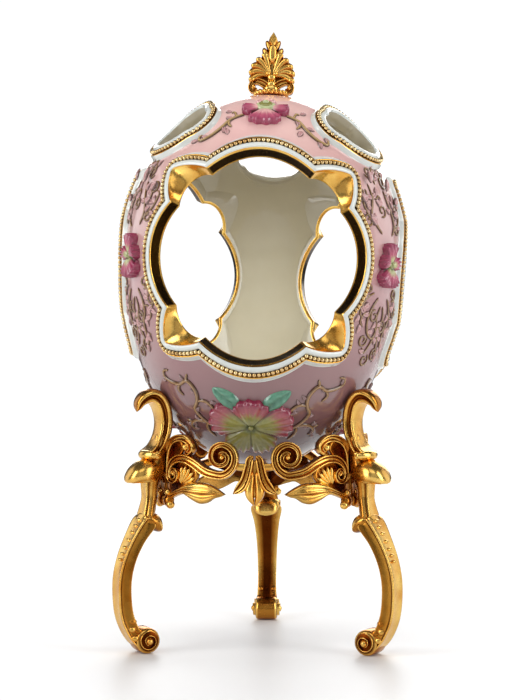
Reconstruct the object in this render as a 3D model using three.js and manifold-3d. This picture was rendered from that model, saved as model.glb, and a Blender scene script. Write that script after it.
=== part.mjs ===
// A pierced porcelain egg with a gilt finial, standing in a gilt three-legged scrollwork stand.
// Millimetres, +Z up. The origin is on the ground, midway between the three feet; -Y is the front.
import * as THREE from 'three';
import { mergeVertices } from 'three/addons/utils/BufferGeometryUtils.js';
import Module from 'manifold-3d';

const wasm = await Module();
wasm.setup();

const { sin, cos, sqrt, PI, atan2, hypot, min, max, sign } = Math;
const rad = THREE.MathUtils.degToRad;
const lerp = THREE.MathUtils.lerp;

// ---- driving dimensions -------------------------------------------------------------------
const EGG_RADIUS = 50; // widest, pink body
const EGG_TOP = 57.2; // widest plane up to the blunt top
const EGG_BOTTOM = 75.6; // widest plane down to the pointed bottom
const EGG_LEVEL = 138.2; // height of the widest plane above the ground
const WALL = 2.8; // porcelain wall
const LEAN = rad(2.6); // the egg leans a little to the right in its stand
const LEAN_PIVOT = 113; // height that the egg leans about
const GAP = 0.35; // clearance between neighbouring pieces

const FRAME_RISE = 2.4; // moulding round an opening, above the body
const FRAME_WIDTH = 3.3; // crest of that moulding
const FRAME_SLOPE = 1.4; // its outer wall spreads this much more at the foot
const WINDOW_LEVEL = -4.3; // middle of a large opening, from the widest plane
const WINDOW_SPLAY = 0.6; // how far its cut edge turns in towards the egg's centre
const LIGHT_LATITUDE = rad(47.5); // middle of a small upper opening, as profile angle

const STAND_LEGS = [60, -60, 180]; // azimuths in degrees, 0 is the front
const GALLERY_RADIUS = 37; // the pierced castings between the legs
const GALLERY_THICKNESS = 1.6; // half, through the casting
const LEG_SLOT = 4.1; // half the room that a casting's ends leave for a leg

const GOLD = new THREE.MeshStandardMaterial({ color: 0xd79a3c, roughness: 0.22, metalness: 1 });
const PORCELAIN = new THREE.MeshStandardMaterial({ color: 0xe3b3b1, roughness: 0.2, metalness: 0 });

// ---- solids -------------------------------------------------------------------------------
function toSolid(geometry) {
  const bare = geometry.clone();
  bare.deleteAttribute('normal');
  bare.deleteAttribute('uv');
  const merged = mergeVertices(bare, 1e-4);
  const vertProperties = new Float32Array(merged.attributes.position.array);
  const triVerts = new Uint32Array(merged.index.array);
  const solid = new wasm.Manifold(new wasm.Mesh({ numProp: 3, vertProperties, triVerts }));
  if (solid.volume() > 0) return solid;
  // A mirrored shape comes out inside out: its faces are wound the other way.
  return new wasm.Manifold(new wasm.Mesh({ numProp: 3, vertProperties, triVerts: triVerts.reverse() }));
}

function toGeometry(solid) {
  const mesh = solid.getMesh();
  const geometry = new THREE.BufferGeometry();
  geometry.setAttribute('position', new THREE.BufferAttribute(mesh.vertProperties, 3));
  geometry.setIndex(new THREE.BufferAttribute(mesh.triVerts, 1));
  return geometry;
}

function joinAll(solids) {
  return solids.reduce((whole, solid) => whole.add(solid));
}

function mapVertices(geometry, place) {
  const position = geometry.attributes.position;
  const p = new THREE.Vector3();
  for (let i = 0; i < position.count; i += 1) {
    p.fromBufferAttribute(position, i);
    const q = place(p);
    position.setXYZ(i, q.x, q.y, q.z);
  }
  return geometry;
}

function turned(solid, degrees) {
  return solid.rotate([0, 0, degrees]);
}

// A blade along a plane curve: half-width across the plane, half-thickness in the plane.
// stations: [[x, z], halfThickness, halfWidth]; place() takes the result to its final place.
function blade(stations, { steps, sides = 6, flat = 1, place = (p) => p }) {
  const curve = new THREE.CatmullRomCurve3(
    stations.map(([point]) => new THREE.Vector3(point[0], 0, point[1])), false, 'centripetal');
  const sizeAt = (t, k) => {
    const f = t * (stations.length - 1);
    const i = min(stations.length - 2, Math.floor(f));
    return lerp(stations[i][k], stations[i + 1][k], f - i);
  };
  const geometry = new THREE.CylinderGeometry(1, 1, 1, sides, steps);
  return toSolid(mapVertices(geometry, (p) => {
    const t = p.y + 0.5;
    const centre = curve.getPoint(t);
    const along = curve.getTangent(t);
    const thick = sizeAt(t, 1) * (p.x >= 0 ? 1 : flat);
    const wide = sizeAt(t, 2);
    const x = centre.x - along.z * p.x * thick;
    const z = centre.z + along.x * p.x * thick;
    return place(new THREE.Vector3(x, p.z * wide, z));
  }));
}

// A ball squashed to three half-sizes.
function knob([x, y, z], [a, b, c], { across = 6, up = 4, place = (p) => p } = {}) {
  const ball = new THREE.SphereGeometry(1, across, up);
  const half = new THREE.Vector3(a, b, c);
  const middle = new THREE.Vector3(x, y, z);
  return toSolid(mapVertices(ball, (p) => place(p.clone().multiply(half).add(middle))));
}

// ---- the egg's surface --------------------------------------------------------------------
function eggRadius(z, offset = 0) {
  const height = (z > 0 ? EGG_TOP : EGG_BOTTOM) + offset;
  return (EGG_RADIUS + offset) * sqrt(max(0, 1 - (z / height) ** 2));
}

// A lathe of the egg's own profile, moved out (or in) by offset.
function eggBody(offset, around, up) {
  const profile = [];
  for (let i = 0; i <= up; i += 1) {
    const t = -PI / 2 + (PI * i) / up;
    const height = (t > 0 ? EGG_TOP : EGG_BOTTOM) + offset;
    const r = i === 0 || i === up ? 0 : (EGG_RADIUS + offset) * cos(t);
    profile.push(new THREE.Vector2(r, height * sin(t)));
  }
  const lathe = new THREE.LatheGeometry(profile, around);
  lathe.rotateX(PI / 2);
  return toSolid(lathe);
}

// Lays a flat ornament on the egg: x to the right, y up, z out, round a point of the surface.
function onEgg(azimuth, latitude) {
  return (p) => {
    const height = latitude > 0 ? EGG_TOP : EGG_BOTTOM;
    const stretch = hypot(EGG_RADIUS * sin(latitude), height * cos(latitude));
    const t = latitude + p.y / stretch;
    const r = EGG_RADIUS * cos(t);
    const az = azimuth + p.x / (EGG_RADIUS * cos(latitude));
    const normal = new THREE.Vector2(cos(t) / EGG_RADIUS, sin(t) / height).normalize();
    const out = r + normal.x * p.z;
    return new THREE.Vector3(out * sin(az), -out * cos(az), height * sin(t) + normal.y * p.z);
  };
}

// ---- openings: outlines unrolled from the surface, u sideways and v up ----------------------
function arcBetween(from, through, to, steps) {
  const points = [];
  const chord = to.clone().sub(from);
  const middle = from.clone().add(to).multiplyScalar(0.5);
  const rise = through.clone().sub(middle);
  const radius = (chord.lengthSq() / 4 + rise.lengthSq()) / (2 * rise.length());
  const centre = through.clone().sub(rise.clone().setLength(radius));
  const start = atan2(from.y - centre.y, from.x - centre.x);
  let sweep = atan2(to.y - centre.y, to.x - centre.x) - start;
  if (sweep > PI) sweep -= 2 * PI;
  if (sweep < -PI) sweep += 2 * PI;
  for (let i = 0; i < steps; i += 1) {
    const a = start + (sweep * i) / steps;
    points.push(new THREE.Vector2(centre.x + radius * cos(a), centre.y + radius * sin(a)));
  }
  return points;
}

// A barbed quatrefoil: four arcs, with a rounded ear at each corner when ear is given.
function foil({ side, top, sideCusp, topCusp, ear }, arcSteps) {
  const v = (x, y) => new THREE.Vector2(x, y);
  const barb = ear ? [
    v(ear[0] - 0.3, ear[1] - 1.4),
    v(ear[0] - 2.1, ear[1] + 0.6),
    v(lerp(topCusp[0], ear[0], 0.45), lerp(topCusp[1], ear[1], 0.45) + 0.9),
    v(...topCusp),
  ] : [];
  const half = [
    ...arcBetween(v(sideCusp[0], -sideCusp[1]), v(side, 0), v(...sideCusp), arcSteps),
    v(...sideCusp),
    ...barb,
    ...arcBetween(v(...topCusp), v(0, top), v(-topCusp[0], topCusp[1]), arcSteps),
    ...barb.map((p) => v(-p.x, p.y)).reverse(),
  ];
  const outline = [];
  for (const p of [...half, ...half.map((q) => v(-q.x, -q.y))]) {
    if (!outline.some((q) => q.distanceTo(p) < 0.05)) outline.push(p);
  }
  return outline;
}

// The same outline moved outwards along its mitred corners.
function spread(outline, distance) {
  return outline.map((p, i) => {
    const before = outline[(i + outline.length - 1) % outline.length];
    const after = outline[(i + 1) % outline.length];
    const a = p.clone().sub(before).normalize();
    const b = after.clone().sub(p).normalize();
    const mitre = new THREE.Vector2(a.y + b.y, -a.x - b.x).normalize();
    return p.clone().addScaledVector(mitre, distance / max(0.6, mitre.x * a.y - mitre.y * a.x));
  });
}

const WINDOW = foil(
  { side: 38.7, top: 36, sideCusp: [31.1, 17.5], topCusp: [19.2, 28.6], ear: [34.4, 28.6] }, 4);
const LIGHT = foil({ side: 13.6, top: 10.2, sideCusp: [9.6, 5.6], topCusp: [9.6, 5.6] }, 3);

// A plug through the wall at a large opening. Its outline narrows towards the egg's axis.
function windowPlug(inner, outer, near, far) {
  const plug = new THREE.ExtrudeGeometry(new THREE.Shape(inner), { depth: 1, bevelEnabled: false });
  const grown = new Map(inner.map((p, i) => [`${p.x.toFixed(3)},${p.y.toFixed(3)}`, outer[i]]));
  return toSolid(mapVertices(plug, (p) => {
    const end = p.z > 0.5 ? grown.get(`${p.x.toFixed(3)},${p.y.toFixed(3)}`) : p;
    const rho = p.z > 0.5 ? far : near;
    const surface = eggRadius(WINDOW_LEVEL + end.y, FRAME_RISE);
    const z = WINDOW_LEVEL + end.y * (1 + (WINDOW_SPLAY * (rho - surface)) / surface);
    const az = end.x / EGG_RADIUS;
    return new THREE.Vector3(rho * sin(az), -rho * cos(az), z);
  }));
}

// A plug through the wall at a small opening, square to the surface at its middle.
function lightPlug(outline, near, far) {
  const plug = new THREE.ExtrudeGeometry(new THREE.Shape(outline), { depth: 1, bevelEnabled: false });
  const place = onEgg(PI / 3, LIGHT_LATITUDE);
  return toSolid(mapVertices(plug, (p) => place(new THREE.Vector3(p.x, p.y, p.z > 0.5 ? far : near))));
}

// ---- porcelain flowers --------------------------------------------------------------------
// A five-petalled pansy in relief: two petals above, one at each side, a cleft one below.
function pansy(width, height, place) {
  const lobes = 5;
  const dome = new THREE.SphereGeometry(1, 10, 3);
  dome.rotateX(PI / 2);
  return toSolid(mapVertices(dome, (p) => {
    const angle = atan2(p.y, p.x);
    const reach = 0.86 + 0.14 * cos(lobes * (angle - PI / 2));
    const dish = 1.5 * p.z - 0.9 * max(0, 1 - 2.4 * hypot(p.x, p.y)) * max(0, sign(p.z));
    return place(new THREE.Vector3(p.x * width * reach, p.y * height * reach, dish));
  }));
}

function leaf(x, y, length, width, angle, place) {
  const ball = new THREE.SphereGeometry(1, 6, 3);
  return toSolid(mapVertices(ball, (p) => {
    const a = p.x * length;
    const b = p.z * width * (1 - 0.5 * p.x);
    const across = x + a * cos(angle) - b * sin(angle);
    const up = y + a * sin(angle) + b * cos(angle);
    return place(new THREE.Vector3(across, up, p.y));
  }));
}

// How high on the egg each kind of flower sits, as profile angles.
const HIGH_FLOWER = rad(56);
const SIDE_FLOWER = rad(-3);
const LOW_FLOWER = rad(-52.5);
// A cutter for the openings reaches from well inside the wall to well outside it.
const INSIDE_WALL = 14;
const OUTSIDE_EGG = 90;

function eggShell() {
  const around = 30;
  const up = 12;
  const body = eggBody(0, around, up);
  const skin = eggBody(FRAME_RISE, around, up).subtract(eggBody(-1, 9, 6));
  const lightFrame = spread(LIGHT, FRAME_WIDTH + 0.4);
  let shell = body;
  for (let k = 0; k < 3; k += 1) {
    const turn = 120 * k;
    const foot = spread(WINDOW, FRAME_WIDTH + FRAME_SLOPE);
    const head = spread(WINDOW, FRAME_WIDTH - 2 * FRAME_SLOPE);
    const windowFrame = windowPlug(foot, head, EGG_RADIUS - 6, OUTSIDE_EGG);
    shell = shell.add(turned(skin.intersect(windowFrame), turn));
    shell = shell.add(turned(skin.intersect(lightPlug(lightFrame, -2, FRAME_RISE + 2)), turn));
    const az = rad(turn);
    const high = onEgg(az, HIGH_FLOWER);
    const low = onEgg(az, LOW_FLOWER);
    const beside = onEgg(az + PI / 3, SIDE_FLOWER);
    shell = shell.add(pansy(8.2, 8.4, high));
    shell = shell.add(pansy(14.5, 12.5, low));
    shell = shell.add(pansy(8.4, 9.4, beside));
    for (const s of [-1, 1]) {
      shell = shell.add(leaf(6.4 * s, 12.6, 5, 2.6, PI / 2 - 0.62 * s, low));
    }
  }
  for (let k = 0; k < 3; k += 1) {
    shell = shell.subtract(turned(windowPlug(WINDOW, WINDOW, INSIDE_WALL, OUTSIDE_EGG), 120 * k));
    shell = shell.subtract(turned(lightPlug(LIGHT, -9, 12), 120 * k));
  }
  return shell.subtract(eggBody(-WALL, 18, 8));
}

// ---- finial: a palmette on a roped ring ------------------------------------------------------
const FAN_HEART = 7.9; // height of the point that the fan's leaves spring from
// The tips of the fan's leaves, on one side.
const FAN_TIPS = [[7.6, 6.8], [7.8, 9.3], [7.3, 11.9], [5.2, 14], [3.4, 16.1]];
const FINIAL_HEIGHT = 24;

function finial() {
  const foot = EGG_TOP - 0.3;
  const rise = (p) => new THREE.Vector3(p.x, p.y, p.z + foot);
  const profile = [[0, 0.45], [5.8, 0.45], [6.9, 0.8], [6.9, 1.8], [5.4, 2.6], [0, 2.6]];
  const ring = new THREE.LatheGeometry(profile.map(([r, z]) => new THREE.Vector2(r, z)), 12);
  ring.rotateX(PI / 2);
  const parts = [toSolid(mapVertices(ring, rise))];
  const bud = [
    [[0, 1.5], 2.6, 1.9], [[0, 6], 1.5, 1.9], [[0, 12], 2.6, 1.9], [[0, 16], 2.6, 1.8],
    [[0, 18.6], 2.2, 1.9], [[0, 21], 1.8, 1.6], [[0, FINIAL_HEIGHT], 0.2, 0.25]];
  parts.push(blade(bud, { steps: 7, sides: 4, place: rise }));
  for (const s of [-1, 1]) {
    for (const [x, z] of FAN_TIPS) {
      const at = (f) => [s * x * f, FAN_HEART + (z - FAN_HEART) * f];
      parts.push(blade(
        [[at(0.05), 0.6, 1.5], [at(0.75), 1.2, 1.8], [at(1), 0.35, 0.9]],
        { steps: 2, sides: 4, place: rise }));
    }
    const curl = [
      [[1.2 * s, 4.6], 0.9, 1.3], [[4.6 * s, 6.3], 0.9, 1.4], [[7.2 * s, 5.6], 0.8, 1.4],
      [[7.7 * s, 3.6], 0.8, 1.4], [[6.3 * s, 2.6], 0.8, 1.2]];
    parts.push(blade(curl, { steps: 4, sides: 4, place: rise }));
  }
  return joinAll(parts);
}

// ---- stand: legs ------------------------------------------------------------------------------
// Every leg is drawn in its own plane: x outwards from the egg's axis, z up, y across the leg.
const HEEL_RADIUS = 4.5; // of the rolled-up foot
const HEEL_FACETS = 12;
const HEEL_X = 44.9;
const LIP = { x: 43.4, z: 68, radius: 1.6, width: 11 }; // the roll under the hook

// Stations of the four blades: [[x, z], half-thickness, half-width].
const HOOK = [
  [[47.6, 83.2], 0.6, 1.5], [[46.6, 86.2], 1.6, 2.9], [[44, 88], 2.2, 3.8], [[41.3, 87.8], 2.4, 4.1],
  [[39, 85.2], 2.3, 4], [[37.8, 80.8], 2.3, 3.8], [[38, 76.6], 2.3, 3.7], [[39.4, 72.8], 2.1, 3.7],
  [[41.6, 69.8], 1.7, 4.2], [[43.4, 68.2], 1.2, 4.6]];
const TRUNK = [
  [[38.8, 77], 1.8, 2.6], [[39.6, 71], 2.8, 3.4], [[40.6, 66], 3.2, 3.5], [[41.4, 60.8], 2.5, 3.3],
  [[42.5, 56], 1.7, 3], [[43.2, 52], 1.4, 3.1], [[44.2, 48.2], 1.7, 4.3], [[45, 45.4], 1.9, 5]];
const KNEE = [
  [[39.6, 64.2], 2, 3.2], [[42.4, 64.8], 2.3, 4.5], [[45.6, 64.9], 2.5, 5.5], [[48.4, 63.9], 2.7, 5.5],
  [[50.3, 62], 2.5, 4.8], [[51.2, 59.8], 1, 2.6]];
const COLLAR = [
  [[46.4, 46.4], 1.2, 4.4], [[43.8, 46.8], 2, 5.2], [[41.6, 45.2], 2.2, 5], [[40.2, 42.8], 0.9, 3.8]];
const SHIN = [
  [[43.4, 46.8], 1.6, 5.6], [[45.2, 44.4], 2.4, 6.1], [[48.6, 39.2], 1.9, 5], [[51.6, 33], 1.8, 4.3],
  [[53.4, 26.5], 1.9, 3.8], [[53.8, 20], 2, 3.4], [[52.9, 13.4], 2, 3.1], [[50.6, 7.6], 2, 3.3],
  [[47, 3.6], 2, 4.2], [[44.6, 2.4], 1.8, 4.8]];

function leg() {
  // The foot rests on one flat facet of its roll.
  const halfFacet = PI / HEEL_FACETS;
  const heel = new THREE.CylinderGeometry(HEEL_RADIUS, HEEL_RADIUS, 9.8, HEEL_FACETS, 1);
  heel.rotateY(halfFacet);
  heel.translate(HEEL_X, 0, HEEL_RADIUS * cos(halfFacet));
  const rim = new THREE.CylinderGeometry(3.3, 3.3, 11.4, 8, 1);
  rim.translate(HEEL_X, 0, 4.9);
  const lip = new THREE.CylinderGeometry(LIP.radius, LIP.radius, LIP.width, 6, 1);
  lip.translate(LIP.x, 0, LIP.z);
  return joinAll([
    blade(HOOK, { steps: 9, flat: 0.8 }), blade(TRUNK, { steps: 6 }), blade(KNEE, { steps: 5 }),
    blade(COLLAR, { steps: 3 }), blade(SHIN, { steps: 11 }), toSolid(heel), toSolid(rim), toSolid(lip)]);
}

// ---- stand: galleries between the legs ---------------------------------------------------------
// Drawn unrolled: x along the arc, z up, y outwards, then bent round the egg's axis.
function bent(p) {
  const az = p.x / GALLERY_RADIUS;
  const r = GALLERY_RADIUS + p.y;
  return new THREE.Vector3(r * sin(az), -r * cos(az), p.z);
}

// A flat-backed plate of the casting, from its corner points.
function plate(corners, back, front) {
  const outline = new THREE.Shape(corners.map(([x, z]) => new THREE.Vector2(x, z)));
  const slab = new THREE.ExtrudeGeometry(outline, { depth: front - back, bevelEnabled: false });
  return toSolid(mapVertices(slab, (p) => bent(new THREE.Vector3(p.x, p.z + back, p.y))));
}

function scroll(points, thick, wide, steps, s) {
  const last = points.length - 1;
  const stations = points.map((p, i) => {
    const swell = 0.55 + 0.45 * sin((PI * i) / last) ** 0.6;
    return [[p[0] * s, p[1]], thick * swell, wide];
  });
  return blade(stations, { steps, sides: 4, place: bent });
}

// A volute's face, from its middle out: a boss, a sunk ring and a raised rim.
const VOLUTE_CENTRE = [10.9, 67.8];
const VOLUTE = [[0, -1.5], [4.9, -1.5], [4.9, 1.2], [4, 1.7], [2.8, 0.4], [1.4, 1.7], [0, 1.8]];

// Centre lines of the two scrolls on the right half.
const LONG_SCROLL = [
  [5.6, 66.4], [7.2, 63.4], [10.9, 61.9], [16.4, 62.7], [21.2, 65.4], [26.8, 67.1], [31.8, 65.6],
  [34, 62.4], [32, 59.4]];
const UPPER_SCROLL = [[35.6, 60], [35.2, 68], [32.6, 72.6], [28.6, 74], [24.2, 73.2], [23.2, 70.4]];
// Stations of the right half's leaf and petal, and of the lily's middle.
const FROND = [
  [[35.8, 53.2], 1.2, 1.2], [[30.5, 54.8], 1.4, 1.4], [[25, 56.2], 2.1, 1.5], [[18.8, 55.8], 3.2, 1.6],
  [[14.2, 55.8], 2, 1.2], [[11.4, 55.5], 0.3, 0.6]];
const PETAL = [
  [[1.4, 67.2], 1.3, 1.2], [[3, 62.6], 1.4, 1.6], [[4.5, 58.6], 1.5, 1.7], [[7.3, 55.9], 0.3, 0.7]];
const LILY_HEART = [
  [[0, 68.2], 1.8, 1.2], [[0, 62.4], 2.3, 1.9], [[0, 57.2], 3.2, 2.1], [[0, 54.4], 2.2, 1.6],
  [[0, 51.9], 0.3, 0.6]];
// Corners of the flat plates that carry the ornament, on the right half.
const WEB = [[14, 62], [22, 57.5], [35.2, 53.6], [35.4, 66], [32, 71.4], [24, 65.6]];
const BRIDGE = [[0, 61.4], [6, 61.4], [9, 62], [9, 65.6], [6, 65.6], [0, 65.6]];
const PLATE_BACK = -1.4;
const PLATE_FRONT = -0.2;

function gallery() {
  const parts = [blade(LILY_HEART, { steps: 4, sides: 4, place: bent })];
  for (const s of [-1, 1]) {
    const mirrored = (stations) => stations.map(([[x, z], a, b]) => [[x * s, z], a, b]);
    const volute = new THREE.LatheGeometry(VOLUTE.map(([r, y]) => new THREE.Vector2(r, y)), 10);
    volute.translate(VOLUTE_CENTRE[0] * s, 0, VOLUTE_CENTRE[1]);
    parts.push(toSolid(mapVertices(volute, bent)));
    parts.push(scroll(LONG_SCROLL, 1.4, GALLERY_THICKNESS, 8, s));
    parts.push(scroll(UPPER_SCROLL, 1.3, GALLERY_THICKNESS, 5, s));
    parts.push(blade(mirrored(FROND), { steps: 5, sides: 4, place: bent }));
    parts.push(knob([34.4 * s, 0.2, 51.4], [1.7, 1.5, 1.7], { across: 5, up: 3, place: bent }));
    for (const corners of [WEB, BRIDGE]) {
      parts.push(plate(corners.map(([x, z]) => [x * s, z]), PLATE_BACK, PLATE_FRONT));
    }
    parts.push(blade(mirrored(PETAL), { steps: 3, sides: 4, place: bent }));
  }
  return joinAll(parts);
}

// ---- the whole piece --------------------------------------------------------------------------
function sub(name, solid, material) {
  const mesh = new THREE.Mesh(toGeometry(solid), material);
  mesh.name = name;
  return mesh;
}

const clearEgg = eggBody(GAP + 0.15, 36, 14).translate([0, 0, EGG_LEVEL]);
const legSolid = leg().subtract(clearEgg);
const facing = (azimuth) => azimuth - 90;
const legSlot = new THREE.BoxGeometry(16, 2 * LEG_SLOT, 34).translate(GALLERY_RADIUS, 0, 62);
let gallerySolid = gallery();
for (const azimuth of [60, -60]) {
  gallerySolid = gallerySolid.subtract(turned(toSolid(legSlot), facing(azimuth)));
}

const part = new THREE.Group();
const egg = new THREE.Group();
const seat = new THREE.Group();
seat.position.z = LEAN_PIVOT;
seat.rotation.y = LEAN;
egg.position.z = EGG_LEVEL - LEAN_PIVOT;
egg.add(sub('egg_shell', eggShell(), PORCELAIN));
egg.add(sub('finial', finial(), GOLD));
seat.add(egg);
part.add(seat);
['right', 'left', 'back'].forEach((side, i) => {
  part.add(sub(`leg_${side}`, turned(legSolid, facing(STAND_LEGS[i])), GOLD));
});
['front', 'back_right', 'back_left'].forEach((side, i) => {
  part.add(sub(`gallery_${side}`, turned(gallerySolid, 120 * i), GOLD));
});

export default part;
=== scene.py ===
# %% [markdown]
# # A pierced porcelain egg in a gilt scrollwork stand
#
# A hollow pink egg with three large and three small openings rests in a cast, gold-plated stand.
# The solid model gives every size and every place. This file dresses it: each cell makes one
# piece, or one finish, and says how the real one is made and which of Blender's tools suits it.

# %% Load the solid model
import math

import bmesh
import bpy
import numpy as np
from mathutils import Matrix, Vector


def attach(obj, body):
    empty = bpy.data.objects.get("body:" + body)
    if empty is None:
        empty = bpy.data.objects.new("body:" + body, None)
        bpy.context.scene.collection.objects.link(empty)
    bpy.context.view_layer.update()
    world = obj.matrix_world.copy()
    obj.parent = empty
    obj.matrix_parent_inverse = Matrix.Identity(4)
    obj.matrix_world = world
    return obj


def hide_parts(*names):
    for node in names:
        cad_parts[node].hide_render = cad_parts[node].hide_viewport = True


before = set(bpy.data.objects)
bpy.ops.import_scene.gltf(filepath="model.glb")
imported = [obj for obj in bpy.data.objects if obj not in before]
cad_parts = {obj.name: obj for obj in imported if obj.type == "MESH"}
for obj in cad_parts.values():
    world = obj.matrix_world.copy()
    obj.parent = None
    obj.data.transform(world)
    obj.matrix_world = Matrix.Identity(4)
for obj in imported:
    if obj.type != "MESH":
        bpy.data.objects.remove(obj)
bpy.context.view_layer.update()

# %% [markdown]
# ## Sizes
#
# The same named sizes as in the solid model, in millimetres. The egg's outline is half an ellipse
# above its widest plane and a longer half ellipse below it, so one small formula gives its radius
# at any height. The egg is drawn upright and is then leaned by a few degrees, as it sits.

# %% Sizes of the egg
MM = 0.001
EGG_RADIUS = 50.0
EGG_TOP = 57.2
EGG_BOTTOM = 75.6
EGG_LEVEL = 138.2
WALL = 2.8
LEAN = math.radians(2.6)
LEAN_PIVOT = 113.0
CREST = 2.4  # an opening's moulding, above the pink body
WINDOW_LEVEL = -4.3  # middle of a large opening, from the egg's widest plane
WINDOW_SPLAY = 0.6
LIGHT_LATITUDE = math.radians(47.5)  # middle of a small opening
print("egg, mm: width", 2 * EGG_RADIUS, "height", round(EGG_TOP + EGG_BOTTOM, 1))


def egg_radius(height, offset=0.0):
    half = np.where(height > 0, EGG_TOP, EGG_BOTTOM) + offset
    return (EGG_RADIUS + offset) * np.sqrt(np.clip(1 - (height / half) ** 2, 0, None))


def in_place(points):
    """From the egg's own axes, round its widest plane, to its leaning place in the stand."""
    x, y, z = points[..., 0], points[..., 1], points[..., 2] + EGG_LEVEL - LEAN_PIVOT
    c, s = math.cos(LEAN), math.sin(LEAN)
    return np.stack([c * x + s * z, y, LEAN_PIVOT - s * x + c * z], axis=-1)


def on_egg(azimuth, latitude):
    """A way to lay an ornament on the egg: x to the right, y up, z out, round one point."""
    def place(points):
        x, y, z = points[..., 0], points[..., 1], points[..., 2]
        half = EGG_TOP if latitude > 0 else EGG_BOTTOM
        stretch = math.hypot(EGG_RADIUS * math.sin(latitude), half * math.cos(latitude))
        t = latitude + y / stretch
        az = azimuth + x / (EGG_RADIUS * math.cos(latitude))
        out_r, out_z = np.cos(t) / EGG_RADIUS, np.sin(t) / half
        size = np.hypot(out_r, out_z)
        r = EGG_RADIUS * np.cos(t) + z * out_r / size
        return np.stack([r * np.sin(az), -r * np.cos(az), half * np.sin(t) + z * out_z / size], axis=-1)
    return place


# %% [markdown]
# ## From numbers to meshes
#
# Nearly every piece here is a grid of points that is wrapped round a path or over a surface, so
# one helper joins a grid's points with four-sided faces and another turns the result into a mesh
# object. The points are millimetres until the last moment, when they become metres.

# %% Mesh helpers
def grid_faces(rows, columns, around=False, start=0):
    faces = []
    for i in range(rows - 1):
        for j in range(columns if around else columns - 1):
            k = (j + 1) % columns
            a, b = start + i * columns, start + (i + 1) * columns
            faces.append((a + j, a + k, b + k, b + j))
    return faces


def finish_mesh(piece, node, outward=True, merge=0.002):
    """Merges double points, turns the faces outwards and hides the solid that the piece stands for."""
    shape = bmesh.new()
    shape.from_mesh(piece.data)
    bmesh.ops.remove_doubles(shape, verts=shape.verts, dist=merge * MM)
    if outward:
        bmesh.ops.recalc_face_normals(shape, faces=shape.faces)
    shape.to_mesh(piece.data)
    shape.free()
    piece.data.polygons.foreach_set("use_smooth", [True] * len(piece.data.polygons))
    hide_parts(node)
    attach(piece, "root")
    print(piece.name, "faces:", len(piece.data.polygons))
    return piece


def mesh_object(name, points, faces, materials, picks=None, tints=None):
    mesh = bpy.data.meshes.new(name)
    mesh.from_pydata((np.asarray(points, float) * MM).tolist(), [], faces)
    for material in materials:
        mesh.materials.append(material)
    if picks is not None:
        mesh.polygons.foreach_set("material_index", picks)
    if tints is not None:
        layer = mesh.attributes.new("tint", "FLOAT_COLOR", "POINT")
        layer.data.foreach_set("color", np.asarray(tints, float).ravel())
    piece = bpy.data.objects.new(name, mesh)
    bpy.context.scene.collection.objects.link(piece)
    return piece


def blend(a, b, f):
    f = np.clip(np.asarray(f, float), 0, 1)[..., None]
    return np.asarray(a) * (1 - f) + np.asarray(b) * f


def with_alpha(colours):
    return np.concatenate([colours, np.ones((*colours.shape[:-1], 1))], axis=-1)


class Heap:
    """Collects many small grids into one mesh, with a tint for every point."""

    def __init__(self):
        self.points, self.faces, self.tints, self.picks, self.count = [], [], [], [], 0

    def add(self, points, faces, tint=(1, 1, 1, 1), pick=0):
        points = np.asarray(points, float).reshape(-1, 3)
        self.faces += [tuple(i + self.count for i in face) for face in faces]
        self.picks += [pick] * len(faces)
        tint = np.asarray(tint, float)
        if tint.ndim == 1:
            tint = np.tile(tint, (len(points), 1))
        self.points.append(points)
        self.tints.append(tint)
        self.count += len(points)

    def build(self, name, materials):
        return mesh_object(name, np.concatenate(self.points), self.faces, materials, self.picks,
                           np.concatenate(self.tints))


# %% [markdown]
# ## Finishes
#
# Each finish is a node tree round one Principled shader. The trees are alike: noise, in the
# object's own coordinates, is turned into colours or greys by a ramp and is wired to the shader.
# So a small class holds the tree and has one short method for each kind of node.

# %% A finish and its nodes
class Finish:
    """A material with one Principled shader, and short ways to wire nodes to it."""

    def __init__(self, name):
        self.material = bpy.data.materials.new(name)
        self.material.use_nodes = True
        self.nodes, self.links = self.material.node_tree.nodes, self.material.node_tree.links
        self.shader = self.nodes["Principled BSDF"]
        self.place = self.nodes.new("ShaderNodeTexCoord").outputs["Object"]

    def set(self, **values):
        for label, value in values.items():
            self.shader.inputs[label.replace("_", " ")].default_value = value

    def wire(self, value, label):
        self.links.new(value, self.shader.inputs[label])

    def noise(self, scale, detail):
        node = self.nodes.new("ShaderNodeTexNoise")
        node.inputs["Scale"].default_value = scale
        node.inputs["Detail"].default_value = detail
        self.links.new(self.place, node.inputs["Vector"])
        return node.outputs["Fac"]

    def ramp(self, value, stops):
        """stops: pairs of a position and a colour, or a grey as one number."""
        node = self.nodes.new("ShaderNodeValToRGB")
        while len(node.color_ramp.elements) < len(stops):
            node.color_ramp.elements.new(0.5)
        for element, (position, colour) in zip(node.color_ramp.elements, stops):
            element.position = position
            element.color = (*(colour if isinstance(colour, tuple) else (colour,) * 3), 1)
        self.links.new(value, node.inputs["Fac"])
        return node.outputs["Color"]

    def multiplied(self, share, a, b):
        node = self.nodes.new("ShaderNodeMix")
        node.data_type, node.blend_type = "RGBA", "MULTIPLY"
        node.inputs[0].default_value = share
        self.links.new(a, node.inputs[6])
        self.links.new(b, node.inputs[7])
        return node.outputs[2]

    def tint(self):
        """The colour that is kept with the mesh's points."""
        node = self.nodes.new("ShaderNodeAttribute")
        node.attribute_name = "tint"
        return node.outputs["Color"]

    def bump(self, height, strength, distance):
        node = self.nodes.new("ShaderNodeBump")
        node.inputs["Strength"].default_value = strength
        node.inputs["Distance"].default_value = distance
        self.links.new(height, node.inputs["Height"])
        self.wire(node.outputs["Normal"], "Normal")


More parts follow.
